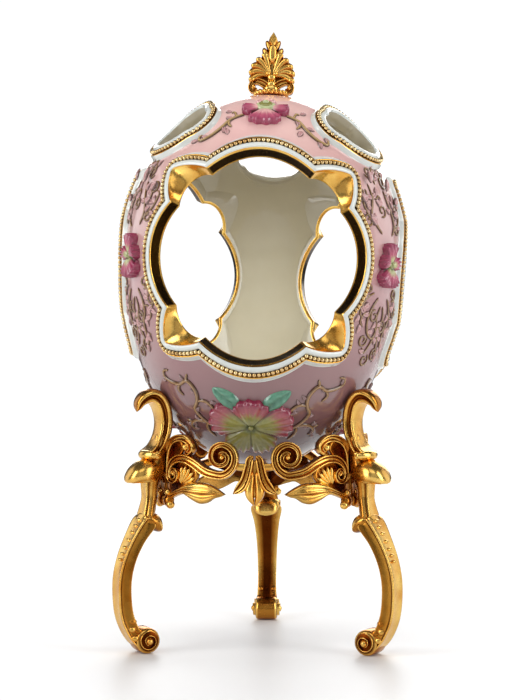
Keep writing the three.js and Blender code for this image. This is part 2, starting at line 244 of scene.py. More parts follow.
def srgb(r, g, b):
    """A screen colour, 0 to 255, as the linear numbers that a shader takes."""
    return tuple((c / 255 / 12.92) if c <= 10 else ((c / 255 + 0.055) / 1.055) ** 2.4 for c in (r, g, b))


# %% [markdown]
# ## Glazed porcelain
#
# Glazed porcelain is a soft colour under a clear, hard gloss, so it gets a coat over the colour
# and a faint waviness. The pink is painted darker towards the egg's foot, and the cream inside is
# painted darker towards its top: both are painted shade. A ramp on the object's own height does
# that without an image texture.

# %% Porcelain
SHADE_FOOT, SHADE_TOP, SHADE_MIDDLE = 0.068, 0.19, 0.45  # two heights in metres, and a share of the way


def with_painted_shade(finish, glaze, shades):
    """Painted shade. shades: what the glaze is multiplied by at the foot of the egg, at its middle and at its
    top.
    """
    apart, span = finish.nodes.new("ShaderNodeSeparateXYZ"), finish.nodes.new("ShaderNodeMapRange")
    span.inputs["From Min"].default_value = SHADE_FOOT
    span.inputs["From Max"].default_value = SHADE_TOP
    finish.links.new(finish.place, apart.inputs["Vector"])
    finish.links.new(apart.outputs["Z"], span.inputs["Value"])
    painted_shade = finish.ramp(span.outputs["Result"], list(zip((0.0, SHADE_MIDDLE, 1.0), shades)))
    return finish.multiplied(1.0, glaze, painted_shade)


def porcelain(name, pale, deep, gloss=0.13, shades=None):
    finish = Finish(name)
    glaze = finish.ramp(finish.noise(38, 4), [(0.35, deep), (0.65, pale)])
    if shades:
        glaze = with_painted_shade(finish, glaze, shades)
    finish.wire(glaze, "Base Color")
    finish.wire(finish.ramp(finish.noise(420, 2), [(0.3, gloss), (0.75, gloss + 0.1)]), "Roughness")
    finish.set(Coat_Weight=0.8, Coat_Roughness=0.04, IOR=1.5)
    finish.bump(finish.noise(160, 2), 0.10, 0.0006)
    return finish.material


# The pink is darker towards the foot of the egg: painted shade.
PINK = porcelain("pink_glaze", srgb(250, 208, 199), srgb(243, 193, 188),
                 shades=((0.11, 0.07, 0.085), (0.54, 0.47, 0.51), (1.0, 1.0, 1.0)))
# The cream inside is darker towards the egg's top: painted shade.
CREAM = porcelain("cream_inside", srgb(242, 237, 216), srgb(232, 225, 200), 0.28,
                  shades=((1.0, 1.0, 1.0), (0.80, 0.78, 0.72), (0.46, 0.42, 0.36)))
WHITE = porcelain("white_moulding", srgb(230, 233, 228), srgb(216, 221, 216))
print("porcelain:", PINK.name, CREAM.name, WHITE.name)

# %% [markdown]
# ## Gold plate
#
# Gold plate is a metal whose colour deepens in the hollows, where polishing doesn't reach, and
# whose gloss varies a little with wear. The depth of a hollow is known when its mesh is made, so
# it is kept there as a tint on every point, with painted shade on the faces turned away from the
# lamps and deep in the hollows, and the finish only multiplies its gold by it.

# %% Gold
def gold(name, bright, deep, rough=0.16, tinted=True):
    finish = Finish(name)
    finish.set(Metallic=1.0)
    surface = finish.ramp(finish.noise(120, 5), [(0.3, deep), (0.62, bright)])
    if tinted:
        surface = finish.multiplied(1.0, surface, finish.tint())
    finish.wire(surface, "Base Color")
    finish.wire(finish.ramp(finish.noise(900, 6), [(0.35, rough), (0.8, rough + 0.08)]), "Roughness")
    finish.bump(finish.noise(420, 3), 0.16, 0.0004)
    return finish.material


GOLD = gold("gold_plate", srgb(248, 204, 110), srgb(222, 158, 66), 0.22)
# Gilt for the beads' groove, darker than the plate: painted shade between the beads.
SHADED_GILT = gold("shaded_gilt_groove", srgb(136, 96, 50), srgb(86, 58, 30), 0.2)
BEADS = gold("bead_gold", srgb(246, 222, 168), srgb(196, 156, 98), 0.14, tinted=False)
print("gold:", GOLD.name, SHADED_GILT.name, BEADS.name)

# %% [markdown]
# ## Painted relief
#
# The flowers are painted by hand in enamels and fired once more, so they are glossy and a little
# streaky. Their colours change from petal to petal: they are kept as the same kind of tint, and
# fine noise takes some of it away, as the hairs of a brush do.

# %% Enamel
def painted_relief():
    finish = Finish("painted_relief")
    brush = finish.ramp(finish.noise(700, 4), [(0.3, 0.72), (0.7, 1.0)])
    finish.wire(finish.multiplied(0.8, finish.tint(), brush), "Base Color")
    finish.wire(finish.ramp(finish.noise(500, 2), [(0.3, 0.14), (0.8, 0.3)]), "Roughness")
    finish.set(Coat_Weight=0.7, Coat_Roughness=0.05)
    finish.bump(finish.noise(650, 3), 0.15, 0.0004)
    return finish.material


PAINT = painted_relief()
print("enamel:", PAINT.name)

# %% [markdown]
# ## Outlines of the openings
#
# A large opening is a four-lobed foil with an ear at each corner, and a small one is a plain
# four-lobed foil. Each is drawn flat, as arcs between sharp points, and then laid on the egg.
# A moulding runs round it at a fixed distance, so an outline has to grow evenly: the arcs are
# moved out along their normals and are trimmed where they meet at a sharp point.

# %% Foil outlines
def arc(start, through, end, count=41):
    """Points on the circle through three points."""
    (ax, ay), (bx, by), (cx, cy) = start, through, end
    d = 2 * (ax * (by - cy) + bx * (cy - ay) + cx * (ay - by))
    a2, b2, c2 = ax * ax + ay * ay, bx * bx + by * by, cx * cx + cy * cy
    ox = (a2 * (by - cy) + b2 * (cy - ay) + c2 * (ay - by)) / d
    oy = (a2 * (cx - bx) + b2 * (ax - cx) + c2 * (bx - ax)) / d
    first = math.atan2(ay - oy, ax - ox)
    turn = (math.atan2(cy - oy, cx - ox) - first + math.pi) % (2 * math.pi) - math.pi
    angles = first + np.linspace(0, turn, count)
    radius = math.hypot(ax - ox, ay - oy)
    return np.stack([ox + radius * np.cos(angles), oy + radius * np.sin(angles)], axis=1)


def chained(*stretches):
    return np.concatenate([stretches[0]] + [s[1:] for s in stretches[1:]])


def mirrored(stretch, x=1, y=1):
    return (stretch * (x, y))[::-1] if x * y < 0 else stretch * (x, y)


def foil(side, corner, top):
    """A whole outline, from a side lobe, the corner above it and the top lobe."""
    return [side, corner, top, mirrored(corner, x=-1), mirrored(side, -1, -1),
            mirrored(corner, -1, -1), mirrored(top, -1, -1), mirrored(corner, y=-1)]


side_lobe = arc((31.1, -17.5), (38.7, 0), (31.1, 17.5))
top_lobe = arc((19.2, 28.6), (0, 36), (-19.2, 28.6))
ear = chained(arc((31.1, 17.5), (33.4, 22.2), (34.5, 27.4)), arc((34.5, 27.4), (34.1, 28.9), (32.8, 29.4)),
              arc((32.8, 29.4), (26.0, 29.8), (19.2, 28.6)))
soft_ear = arc((31.1, 17.5), (28.6, 25.6), (19.2, 28.6))
WINDOW = foil(side_lobe, ear, top_lobe)
WINDOW_BACK = foil(side_lobe, soft_ear, top_lobe)
light_side = arc((9.6, -5.6), (13.6, 0), (9.6, 5.6))
light_top = arc((9.6, 5.6), (0, 10.2), (-9.6, 5.6))
LIGHT = [light_side, light_top, mirrored(light_side, -1, -1), mirrored(light_top, -1, -1)]
SPACING = 0.9  # between the points of an outline


def steps_on(stretch):
    return max(6, round(np.linalg.norm(np.diff(stretch, axis=0), axis=1).sum() / SPACING))


def stretch_normals(stretch):
    along = np.gradient(stretch, axis=0)
    along /= np.linalg.norm(along, axis=1, keepdims=True)
    return np.stack([along[:, 1], -along[:, 0]], axis=1)


def grown(outline, distance, like=None):
    """The outline moved out by distance, with as many points as any other offset of it (or of like)."""
    normals = [stretch_normals(s) for s in outline]
    rings = []
    for i, stretch in enumerate(outline):
        moved = stretch + normals[i] * distance
        for end, other in ((0, normals[i - 1][-1]), (-1, normals[(i + 1) % len(outline)][0])):
            corner = stretch[end]
            mitre = normals[i][end] + other
            across = np.array([-mitre[1], mitre[0]])
            inside = (stretch[len(stretch) // 2] - corner) @ across
            side = (moved - corner) @ across * math.copysign(1, inside)
            keep = side >= 0
            k = int(np.argmax(keep)) if end == 0 else len(keep) - 1 - int(np.argmax(keep[::-1]))
            if 0 < k < len(keep) - 1:
                j = k - 1 if end == 0 else k + 1
                f = side[k] / (side[k] - side[j])
                meeting = moved[k] + (moved[j] - moved[k]) * f
                moved = np.vstack([meeting, moved[k:]]) if end == 0 else np.vstack([moved[:k + 1], meeting])
        steps = steps_on((like or outline)[i])
        run = np.concatenate([[0], np.cumsum(np.linalg.norm(np.diff(moved, axis=0), axis=1))])
        at = np.linspace(0, run[-1], steps + 1)[:-1]
        rings.append(np.stack([np.interp(at, run, moved[:, 0]), np.interp(at, run, moved[:, 1])], axis=1))
    return np.concatenate(rings)


print("points round a large and a small opening:", len(grown(WINDOW, 0)), len(grown(LIGHT, 0)))


# %% Where a point of an opening lies
def on_window(azimuth):
    """Sideways the cut follows the egg's radius. Up and down it turns in towards the middle."""
    def place(outline, height, splayed):
        u, v = outline[:, 0], outline[:, 1]
        surface = egg_radius(WINDOW_LEVEL + v, CREST)
        r = egg_radius(WINDOW_LEVEL + v, height)
        if splayed:
            r = surface + height - CREST
            v = v * (1 + WINDOW_SPLAY * (height - CREST) / surface)
        az = azimuth + u / EGG_RADIUS
        return np.stack([r * np.sin(az), -r * np.cos(az), WINDOW_LEVEL + v], axis=1)
    return place


def on_light(azimuth):
    lay = on_egg(azimuth, LIGHT_LATITUDE)
    return lambda outline, height, splayed: lay(np.column_stack([outline, np.full(len(outline), height)]))


OPENINGS = []
for k in range(3):
    OPENINGS.append((WINDOW, on_window(math.radians(120 * k)), True))
    OPENINGS.append((LIGHT, on_light(math.radians(120 * k + 60)), False))
print("openings:", len(OPENINGS))

# %% [markdown]
# ## The pink body
#
# Real porcelain is cast in a mould as one even wall. The same step works here: two lathed skins,
# one for each side of the wall, the inner one turned inside out so that its faces look into the
# hollow. A Solidify modifier would also give a wall, but two skins can have two glazes.

# %% Lathe the wall
BODY_AROUND, BODY_UP = 240, 130


def lathed_skin(offset):
    t = np.linspace(-math.pi / 2, math.pi / 2, BODY_UP + 1)[1:-1]
    az = np.linspace(0, 2 * math.pi, BODY_AROUND, endpoint=False)
    height = (np.where(t > 0, EGG_TOP, EGG_BOTTOM) + offset) * np.sin(t)
    r = (EGG_RADIUS + offset) * np.cos(t)
    rows = r[:, None] * np.sin(az), -r[:, None] * np.cos(az), height[:, None]
    ring = np.stack(np.broadcast_arrays(*rows), -1)
    low, high = (0, 0, -EGG_BOTTOM - offset), (0, 0, EGG_TOP + offset)
    points = np.vstack([ring.reshape(-1, 3), low, high])
    faces = grid_faces(len(t), BODY_AROUND, around=True)
    n, last = len(points), (len(t) - 1) * BODY_AROUND
    faces += [(n - 2, (j + 1) % BODY_AROUND, j) for j in range(BODY_AROUND)]
    faces += [(n - 1, last + j, last + (j + 1) % BODY_AROUND) for j in range(BODY_AROUND)]
    return points, faces


wall = Heap()
wall.add(*lathed_skin(0.0), pick=0)
inner_points, inner_faces = lathed_skin(-WALL)
wall.add(inner_points, [face[::-1] for face in inner_faces], pick=1)
body = wall.build("egg_body", [PINK, CREAM])
body.data.attributes.remove(body.data.attributes["tint"])
print("wall before cutting, faces:", len(body.data.polygons))

# %% [markdown]
# ## Cutting the openings
#
# The potter cuts the openings while the wall is soft. Here a Boolean modifier does it, with plugs
# of the openings' shapes. They are a little larger than the openings, because the mouldings cover
# the cut edges, and they reach well past both sides of the wall, so that no skin is only grazed.

# %% Cut the openings
PLUG_GROWTH, PLUG_INSIDE, PLUG_OUTSIDE = 1.6, -9.0, 12.0


def plug(outline, place):
    ring, middle = grown(outline, PLUG_GROWTH), np.zeros((1, 2))
    ends = [place(flat, height, False) for flat in (ring, middle) for height in (PLUG_INSIDE, PLUG_OUTSIDE)]
    n = len(ring)
    faces = grid_faces(2, n, around=True)
    faces += [((j + 1) % n, j, 2 * n) for j in range(n)]
    faces += [(n + j, n + (j + 1) % n, 2 * n + 1) for j in range(n)]
    return np.vstack(ends), faces


plugs = Heap()
for outline, place, _ in OPENINGS:
    plugs.add(*plug(outline, place))
cutter = plugs.build("opening_plugs", [CREAM])
shape = bmesh.new()
shape.from_mesh(cutter.data)
bmesh.ops.recalc_face_normals(shape, faces=shape.faces)
shape.to_mesh(cutter.data)
shape.free()
cut = body.modifiers.new("openings", "BOOLEAN")
cut.operation, cut.solver, cut.object = "DIFFERENCE", "EXACT", cutter
bpy.context.view_layer.update()
carved = bpy.data.meshes.new_from_object(body.evaluated_get(bpy.context.evaluated_depsgraph_get()))
body.modifiers.clear()
body.data = carved
bpy.data.objects.remove(cutter)


def settle(piece):
    """Moves a finished egg piece from the egg's own axes to its place in the stand."""
    count = len(piece.data.vertices)
    flat = np.empty(count * 3)
    piece.data.vertices.foreach_get("co", flat)
    placed = in_place(flat.reshape(-1, 3) / MM) * MM
    piece.data.vertices.foreach_set("co", placed.ravel())
    piece.data.update()


settle(body)
finish_mesh(body, "egg_shell", outward=False)

# %% [markdown]
# ## Mouldings round the openings
#
# Every opening has a rounded white lip, a groove for a row of beads, a thin gold line and a steep
# white outer wall. The groove's gilt is darkened as painted shade. On the large openings the cut
# through the wall is gilded, and on its lobes it is painted nearly black: a painted reflection of
# the dark inside. All of these are one cross-section swept along the outline: each entry below is a
# distance out from the outline, a height above the pink body, and the finish of the strip that
# follows it.

# %% Sweep the mouldings
LIP = [(0.12, 1.9), (0.4, 2.15), (0.8, 2.3), (1.25, 2.3), (1.65, 2.15), (1.9, 1.9)]
GROOVE_START = (2.0, 1.55, 0, 0)
OUTER = [(3.5, 1.4, 0), (3.62, 1.6, 2), (3.8, 1.65, 2), (4.0, 1.5, 1), (4.3, 1.3, 1), (4.6, 0.5, 1),
         (5.0, 0.05, 1), (5.5, -0.25, 1)]
# Distance, height, finish (0 gilt of the groove, darkened as painted shade, 1 white, 2 gold, 3 cream),
# and how far the outline has turned into the softer one at the back.
WINDOW_CUT = [(2.6, -2.6, 3, 0), (2.0, -2.95, 3, 0), (1.2, -3.05, 2, 1), (0.6, -3.15, 2, 1),
              (0.15, -3.0, 2, 1), (0.0, -2.6, 2, 1), (0.0, -2.3, 2, 0.96), (0.0, -2.1, 2, 0.93),
              (0.0, -1.7, 2, 0.86), (0.0, -0.6, 2, 0.62), (0.0, 0.5, 2, 0.32), (0.0, 1.2, 2, 0.06),
              (-0.05, 1.4, 2, 0), (0.0, 1.65, 2, 0)]
# The cut of a small opening is cream, which the cream's painted shade darkens near the egg's top.
LIGHT_CUT = [(2.4, -2.5, 3, 0), (1.6, -3.0, 3, 0), (0.6, -3.1, 3, 0), (0.0, -2.4, 3, 0), (0.0, -0.4, 3, 0),
             (0.0, 1.4, 1, 0)]
RIM = [(d, h, 1, 0) for d, h in LIP] + [GROOVE_START] + [(d, h, pick, 0) for d, h, pick in OUTER]
SPLAY_OUT, SPLAY_TOP = 2, 1.6  # the splayed part of the section: its distance and height stay under these
SHADED_FROM, SHADED_TO = -2.2, 1.3  # heights between which the gilded cut is painted dark, a painted reflection of the dark inside
WALL_SHADE = np.array((0.035, 0.027, 0.018))


def ear_share(outline):
    """1 on the points of the ears and 0 on the lobes, where the gilded cut is painted dark."""
    return np.concatenate([np.full(steps_on(stretch), float(i % 2)) for i, stretch in enumerate(outline)])


def moulding(heap, outline, place, large):
    section = (WINDOW_CUT if large else LIGHT_CUT) + RIM
    rings, tones = [], []
    for d, h, _, back in section:
        ring = grown(outline, d)
        if back:
            ring = ring * (1 - back) + grown(WINDOW_BACK, d, like=outline) * back
        rings.append(place(ring, h, large and d < SPLAY_OUT and h < SPLAY_TOP))
        # On the lobes the gilded cut is multiplied by a near-black tint, a painted reflection of the dark
        # inside; the ears keep their gold.
        painted_dark_cut = large and SHADED_FROM < h < SHADED_TO
        light = ear_share(outline) if painted_dark_cut else np.ones(len(ring))
        tones.append(with_alpha(blend(WALL_SHADE, (1, 1, 1), light)))
    strip = grid_faces(2, len(rings[0]), around=True)
    for i, (_, _, pick, _) in enumerate(section[:-1]):
        heap.add(np.vstack(rings[i:i + 2]), strip, np.vstack(tones[i:i + 2]), pick)


mouldings = Heap()
for outline, place, large in OPENINGS:
    moulding(mouldings, outline, place, large)
moulded = mouldings.build("opening_mouldings", [SHADED_GILT, WHITE, GOLD, CREAM])
settle(moulded)
finish_mesh(moulded, "egg_shell")

# %% [markdown]
# ## Rows of beads
#
# A string of small gilt beads lies in the groove of every moulding. Hundreds of equal balls along
# a path are a job for Geometry Nodes: the path is resampled at the beads' pitch and a small ball
# is set on every point. The tree ends by making the balls real and giving them their gold.

# %% A node tree that threads beads on a path
def bead_tree():
    tree = bpy.data.node_groups.new("beads_on_a_path", "GeometryNodeTree")
    face = tree.interface
    face.new_socket("Path", in_out="INPUT", socket_type="NodeSocketGeometry")
    face.new_socket("Beads", in_out="OUTPUT", socket_type="NodeSocketGeometry")
    for label, start in (("Pitch", 0.0018), ("Bead Radius", 0.0007)):
        face.new_socket(label, in_out="INPUT", socket_type="NodeSocketFloat").default_value = start
    face.new_socket("Finish", in_out="INPUT", socket_type="NodeSocketMaterial")
    new, link = tree.nodes.new, tree.links.new
    given, made = new("NodeGroupInput"), new("NodeGroupOutput")
    curve, spaced = new("GeometryNodeMeshToCurve"), new("GeometryNodeResampleCurve")
    spaced.mode = "LENGTH"
    ball, threaded = new("GeometryNodeMeshUVSphere"), new("GeometryNodeInstanceOnPoints")
    ball.inputs["Segments"].default_value = 9
    ball.inputs["Rings"].default_value = 6
    real, smooth = new("GeometryNodeRealizeInstances"), new("GeometryNodeSetShadeSmooth")
    paint = new("GeometryNodeSetMaterial")
    link(given.outputs["Path"], curve.inputs["Mesh"])
    link(curve.outputs["Curve"], spaced.inputs["Curve"])
    link(given.outputs["Pitch"], spaced.inputs["Length"])
    link(given.outputs["Bead Radius"], ball.inputs["Radius"])
    link(spaced.outputs["Curve"], threaded.inputs["Points"])
    link(ball.outputs["Mesh"], threaded.inputs["Instance"])
    link(threaded.outputs["Instances"], smooth.inputs["Geometry"])
    link(smooth.outputs["Geometry"], real.inputs["Geometry"])
    link(real.outputs["Geometry"], paint.inputs["Geometry"])
    link(given.outputs["Finish"], paint.inputs["Material"])
    link(paint.outputs["Geometry"], made.inputs["Beads"])
    return tree


BEAD_TREE = bead_tree()


def run_tree(piece, tree, **values):
    """Sets a node tree's inputs by their sockets, evaluates it and keeps the plain mesh."""
    modifier = piece.modifiers.new(tree.name, "NODES")
    modifier.node_group = tree
    for item in tree.interface.items_tree:
        if item.in_out == "INPUT" and item.name in values:
            modifier[item.identifier] = values[item.name]
    bpy.context.view_layer.update()
    result = bpy.data.meshes.new_from_object(piece.evaluated_get(bpy.context.evaluated_depsgraph_get()))
    piece.modifiers.clear()
    piece.data = result
    return piece


def thread_beads(name, loops, pitch, radius):
    """Beads along every closed loop of points (in millimetres, already in place)."""
    points, edges = [], []
    for loop in loops:
        first, n = len(points), len(loop)
        points += (np.asarray(loop) * MM).tolist()
        edges += [(first + i, first + (i + 1) % n) for i in range(n)]
    mesh = bpy.data.meshes.new(name)
    mesh.from_pydata(points, edges, [])
    piece = bpy.data.objects.new(name, mesh)
    bpy.context.scene.collection.objects.link(piece)
    return run_tree(piece, BEAD_TREE, **{"Pitch": pitch * MM, "Bead Radius": radius * MM, "Finish": BEADS})


# %% Thread the beads
BEAD_PITCH, BEAD_RADIUS = 1.55, 0.72
BEAD_OUT, BEAD_HEIGHT = 2.75, 1.95
bead_loops = [in_place(place(grown(outline, BEAD_OUT), BEAD_HEIGHT, False)) for outline, place, _ in OPENINGS]
beads = thread_beads("opening_beads", bead_loops, BEAD_PITCH, BEAD_RADIUS)
finish_mesh(beads, "egg_shell", merge=0.0001)

# %% [markdown]
# ## Flowers, leaves and vines
#
# The flowers are pressed in relief and painted by hand before the last firing. One pansy is a
# round grid of points whose reach and height depend on the petal that a point belongs to. The
# colours are kept with the points, as an attribute that the paint reads, so that a petal's edge
# can be crimson and its root yellow-green, whatever its size.

# %% Enamel colours
# The low pansy's lime, rose and crimson are darkened as painted shade, as it lies low on the egg.
CRIMSON, ROSE, BLUSH = srgb(140, 34, 66), srgb(198, 92, 120), srgb(240, 182, 178)
SHADED_ROSE, DEEP_ROSE = srgb(166, 84, 90), srgb(164, 58, 92)
MOSS, LIME, CREAM_PETAL = srgb(98, 106, 50), srgb(146, 144, 74), srgb(196, 200, 140)
MINT, DUSKY, DUSKY_PALE = srgb(206, 214, 158), srgb(196, 138, 140), srgb(236, 190, 184)
VEIN, LEAF, LEAF_PALE = srgb(58, 34, 24), srgb(58, 118, 92), srgb(112, 170, 142)
# The vines' pale colours are painted highlights along their outer sides, dimmer on the low and side vines.
TWIG, TWIG_HIGHLIGHT, TWIG_DIM_HIGHLIGHT = srgb(74, 44, 32), srgb(218, 180, 118), srgb(176, 134, 86)
LOW_LEAF, LOW_LEAF_PALE = srgb(140, 104, 104), srgb(186, 150, 148)

# %% A pansy
RUFFLES = 5  # half waves along the edge of a petal


def pansy(heap, place, petals, rise, root, mid, edge, heart=1.0, lean_edge=0.55):
    """petals: middle angle in degrees, half its spread, reach in mm, and how far its root colour runs."""
    around, out = 180, 22
    # Every direction belongs to the petal whose middle it is nearest to, in shares of its spread.
    theta = np.linspace(-math.pi, math.pi, around, endpoint=False)
    f = np.linspace(0, 1, out)
    across, reach, run = np.zeros(around), np.zeros(around), np.zeros(around)
    nearest = np.full(around, 9.0)
    for middle, spread, length, colour_run in petals:
        off = (theta - math.radians(middle) + math.pi) % (2 * math.pi) - math.pi
        s = off / math.radians(spread)
        closer = np.abs(s) < nearest
        nearest = np.where(closer, np.abs(s), nearest)
        across, reach = np.where(closer, s, across), np.where(closer, length, reach)
        run = np.where(closer, colour_run, run)
    # The rim is round-shouldered and ruffled. The face swells like a pillow and stands up at its edge.
    shoulder = np.clip(1 - np.abs(across) ** 3.2, 0, 1) ** 0.5
    ruffle = 1 + 0.030 * np.sin(RUFFLES * math.pi * across) * (np.abs(across) < 0.8)
    rim = reach * (0.70 + 0.30 * shoulder) * ruffle
    r = f[:, None] * rim
    pillow = np.clip(1 - np.abs(across) ** 2.6, 0, 1)[None] ** 0.6
    swell = np.sin(math.pi * np.clip(f, 0, 1) ** 0.8)[:, None]
    height = rise * (0.42 + pillow * (0.34 * swell + lean_edge * f[:, None] ** 1.6))
    height += rise * 0.11 * np.sin(RUFFLES * math.pi * across)[None] * f[:, None] ** 2 * (f[:, None] < 0.97)
    height *= np.where(f[:, None] > 0.96, 0.55, 1.0)
    height = np.where(f[:, None] < 0.12, rise * 0.34, height)
    height = np.vstack([height, np.full((1, around), -0.5)])
    r = np.vstack([r, rim[None] * 1.015])
    points = np.stack([r * np.cos(theta), r * np.sin(theta), height], axis=-1)
    share = np.vstack([np.broadcast_to(f[:, None], (out, around)), np.ones((1, around))])
    # From the root's colour to the edge's, with fine streaks, a dark line between petals and a green eye.
    streak = 0.035 * np.sin(theta * 31) + 0.03 * np.sin(theta * 53 + 1)
    tone = blend(root, mid, (share - run + streak) / 0.22)
    tone = blend(tone, edge, (share - run - 0.26 + streak) / 0.26)
    tone = blend(tone, VEIN, (np.abs(across)[None] - 0.90) / 0.10 * (share < 0.95) * 0.85)
    tone = blend(tone, MOSS, (0.24 - share) / 0.12)
    heap.add(place(points), grid_faces(out + 1, around, around=True), with_alpha(tone).reshape(-1, 4))
    knob(heap, place, (0, 0, rise * 0.45), (heart, heart, heart * 0.8), LIME)


# %% Knobs and leaves
def knob(heap, place, middle, half, colour, around=14, up=8):
    """A small ellipsoid: its middle and its three half axes."""
    t = np.linspace(-math.pi / 2, math.pi / 2, up)
    a = np.linspace(0, 2 * math.pi, around, endpoint=False)
    x = middle[0] + half[0] * np.cos(t)[:, None] * np.cos(a)
    y = middle[1] + half[1] * np.cos(t)[:, None] * np.sin(a)
    z = middle[2] + half[2] * np.sin(t)[:, None] * np.ones(around)
    heap.add(place(np.stack([x, y, z], axis=-1)), grid_faces(up, around, around=True), (*colour, 1))


def leaf(heap, place, start, tip, width, rise, colour, pale, wave=0.0, along=16, across=11, rim=None,
         blunt=0.75):
    """A leaf from its stalk to its tip, raised at both sides of a sunk midrib.

    wave: how far it bows to its side. rim: the colour of its outline. blunt: under 1 for a full leaf.
    """
    start, tip = np.array(start, float), np.array(tip, float)
    axis = tip - start
    side = np.array([-axis[1], axis[0]]) / np.linalg.norm(axis)
    t, s = np.linspace(0, 1, along)[:, None], np.linspace(-1, 1, across)[None]
    half = width / 2 * np.sin(math.pi * np.clip(t, 0.004, 0.996) ** 0.8) ** blunt
    bow = wave * np.sin(math.pi * t)
    flat = start + axis * t[..., None] + side * ((s * half + bow)[..., None])
    body = np.clip(1 - np.abs(s) ** 3, 0, 1) ** 0.5 * np.sin(math.pi * np.clip(t, 0.02, 0.98)) ** 0.5
    midrib = 0.30 * np.exp(-((s / 0.12) ** 2)) * (t < 0.9)
    height = rise * body * (0.75 + 0.25 * np.abs(s)) - rise * midrib - 0.15
    points = np.concatenate([flat, np.broadcast_to(height[..., None], (along, across, 1))], axis=-1)
    paleness = 0.25 + 0.5 * np.abs(s) + 0.2 * np.sin(t * 25 + np.abs(s) * 6)
    tone = blend(colour, pale, np.broadcast_to(paleness, (along, across)))
    if rim is not None:
        tone = blend(tone, rim, np.maximum((np.abs(s) - 0.60) / 0.25, (np.abs(t - 0.5) - 0.40) / 0.08))
    heap.add(place(points), grid_faces(along, across), with_alpha(tone).reshape(-1, 4))


# %% [markdown]
# ## Lines that lie on the egg
#
# A vine is a thin raised line of clay, laid on by hand. It is a round section swept along a smooth
# curve through a few points, which are given as the egg's own longitude and height, so that the
# line follows the egg wherever it goes. A Curve object's bevel could draw it too, but it wouldn't
# keep to the curved surface or carry a lit upper side in its colours.

# %% Vines
def smooth_path(points, count):
    """Points along a Catmull-Rom curve through the given ones."""
    p = np.asarray(points, float)
    p = np.vstack([2 * p[0] - p[1], p, 2 * p[-1] - p[-2]])
    at = np.linspace(0, len(p) - 3, count)
    i = np.minimum(at.astype(int), len(p) - 4)
    t = (at - i)[:, None]
    a, b, c, d = p[i], p[i + 1], p[i + 2], p[i + 3]
    cubic = (3 * b - a - 3 * c + d) * t ** 3
    return 0.5 * (2 * b + (c - a) * t + (2 * a - 5 * b + 4 * c - d) * t ** 2 + cubic)


def at_height(azimuth_height, out=0.0):
    """Points of the egg from their azimuth in degrees and height from the widest plane."""
    az, z = np.radians(azimuth_height[:, 0]), azimuth_height[:, 1]
    half = np.where(z > 0, EGG_TOP, EGG_BOTTOM)
    r = egg_radius(z)
    normal = np.stack([r / EGG_RADIUS ** 2, z / half ** 2], axis=1)
    normal /= np.linalg.norm(normal, axis=1, keepdims=True)
    r = r + out * normal[:, 0]
    return np.stack([r * np.sin(az), -r * np.cos(az), z + out * normal[:, 1]], axis=1)


def vine(heap, stations, thick, mirror=False, turn=0.0, colour=TWIG, pale=TWIG_HIGHLIGHT, sides=8, fine=5):
    """A raised, tapered line along the egg. stations: azimuth in degrees, height."""
    stations = np.array(stations, float)
    if mirror:
        stations = stations * (-1, 1)
    count = fine * (len(stations) - 1) + 1
    path = smooth_path(stations, count)
    path[:, 0] += turn
    centre = at_height(path, 0.12)
    along = np.gradient(centre, axis=0)
    along /= np.linalg.norm(along, axis=1, keepdims=True)
    up = at_height(path, 1.0) - at_height(path, 0.0)
    side = np.cross(along, up)
    side /= np.linalg.norm(side, axis=1, keepdims=True)
    t = np.linspace(0, 1, count)
    radius = thick * (0.45 + 0.55 * np.sin(math.pi * (0.12 + 0.88 * t)) ** 0.5)
    radius[[0, -1]] *= 0.15
    a = np.linspace(0, 2 * math.pi, sides, endpoint=False)
    ring = centre[:, None] + radius[:, None, None] * (
        np.cos(a)[None, :, None] * side[:, None] + 0.9 * np.sin(a)[None, :, None] * up[:, None])
    # Painted highlight: the side of the line that faces out from the egg is paler.
    tone = blend(colour, pale, np.clip(np.sin(a), 0, 1)[None] ** 3 * np.ones((count, 1)))
    heap.add(ring, grid_faces(count, sides, around=True), with_alpha(tone).reshape(-1, 4))


# %% [markdown]
# ## Three kinds of pansy
#
# A broad pansy lies under every large opening, a small one above it, and an upright one between
# two openings. They are the same function with other petals: each entry is a petal's middle angle,
# half its spread, its reach and how far its root's colour runs.

# %% Flowers on the egg
LOW_PETALS = [(90, 40, 10.4, 0.48), (15, 36, 13.6, 0.54), (165, 36, 13.6, 0.54), (-56, 35, 12.4, 0.80),
              (-124, 35, 12.4, 0.80)]
HIGH_PETALS = [(-90, 44, 8.8, 0.50), (-10, 27, 7.6, 0.40), (190, 27, 7.6, 0.40), (52, 36, 4.4, 0.9),
               (128, 36, 4.4, 0.9)]
SIDE_PETALS = [(90, 34, 7.6, 0.30), (20, 38, 5.2, 0.34), (160, 38, 5.2, 0.34), (-62, 34, 7.4, 0.30),
               (-118, 34, 7.4, 0.30)]
LOW_LATITUDE, HIGH_LATITUDE, SIDE_LATITUDE = -52.5, 55, -3


def low_pansy(heap, place):
    for s in (-1, 1):
        leaf(heap, place, (3.8 * s, 6.4), (10.4 * s, 14.2), 5.4, 1.9, LEAF, LEAF_PALE, 0.5 * s, blunt=0.5)
    pansy(heap, place, LOW_PETALS, 2.7, LIME, SHADED_ROSE, CRIMSON, 0.9)


def high_pansy(heap, place):
    pansy(heap, place, HIGH_PETALS, 2.4, BLUSH, ROSE, DEEP_ROSE, 1.0)
    knob(heap, place, (0, 0.6, 1.5), (3.5, 3.0, 1.0), MINT, 26, 8)
    knob(heap, place, (0, 0.6, 2.2), (2.3, 1.9, 0.7), LIME, 22, 7)
    knob(heap, place, (0, 0.6, 2.6), (1.1, 1.0, 0.8), MINT, 14, 7)


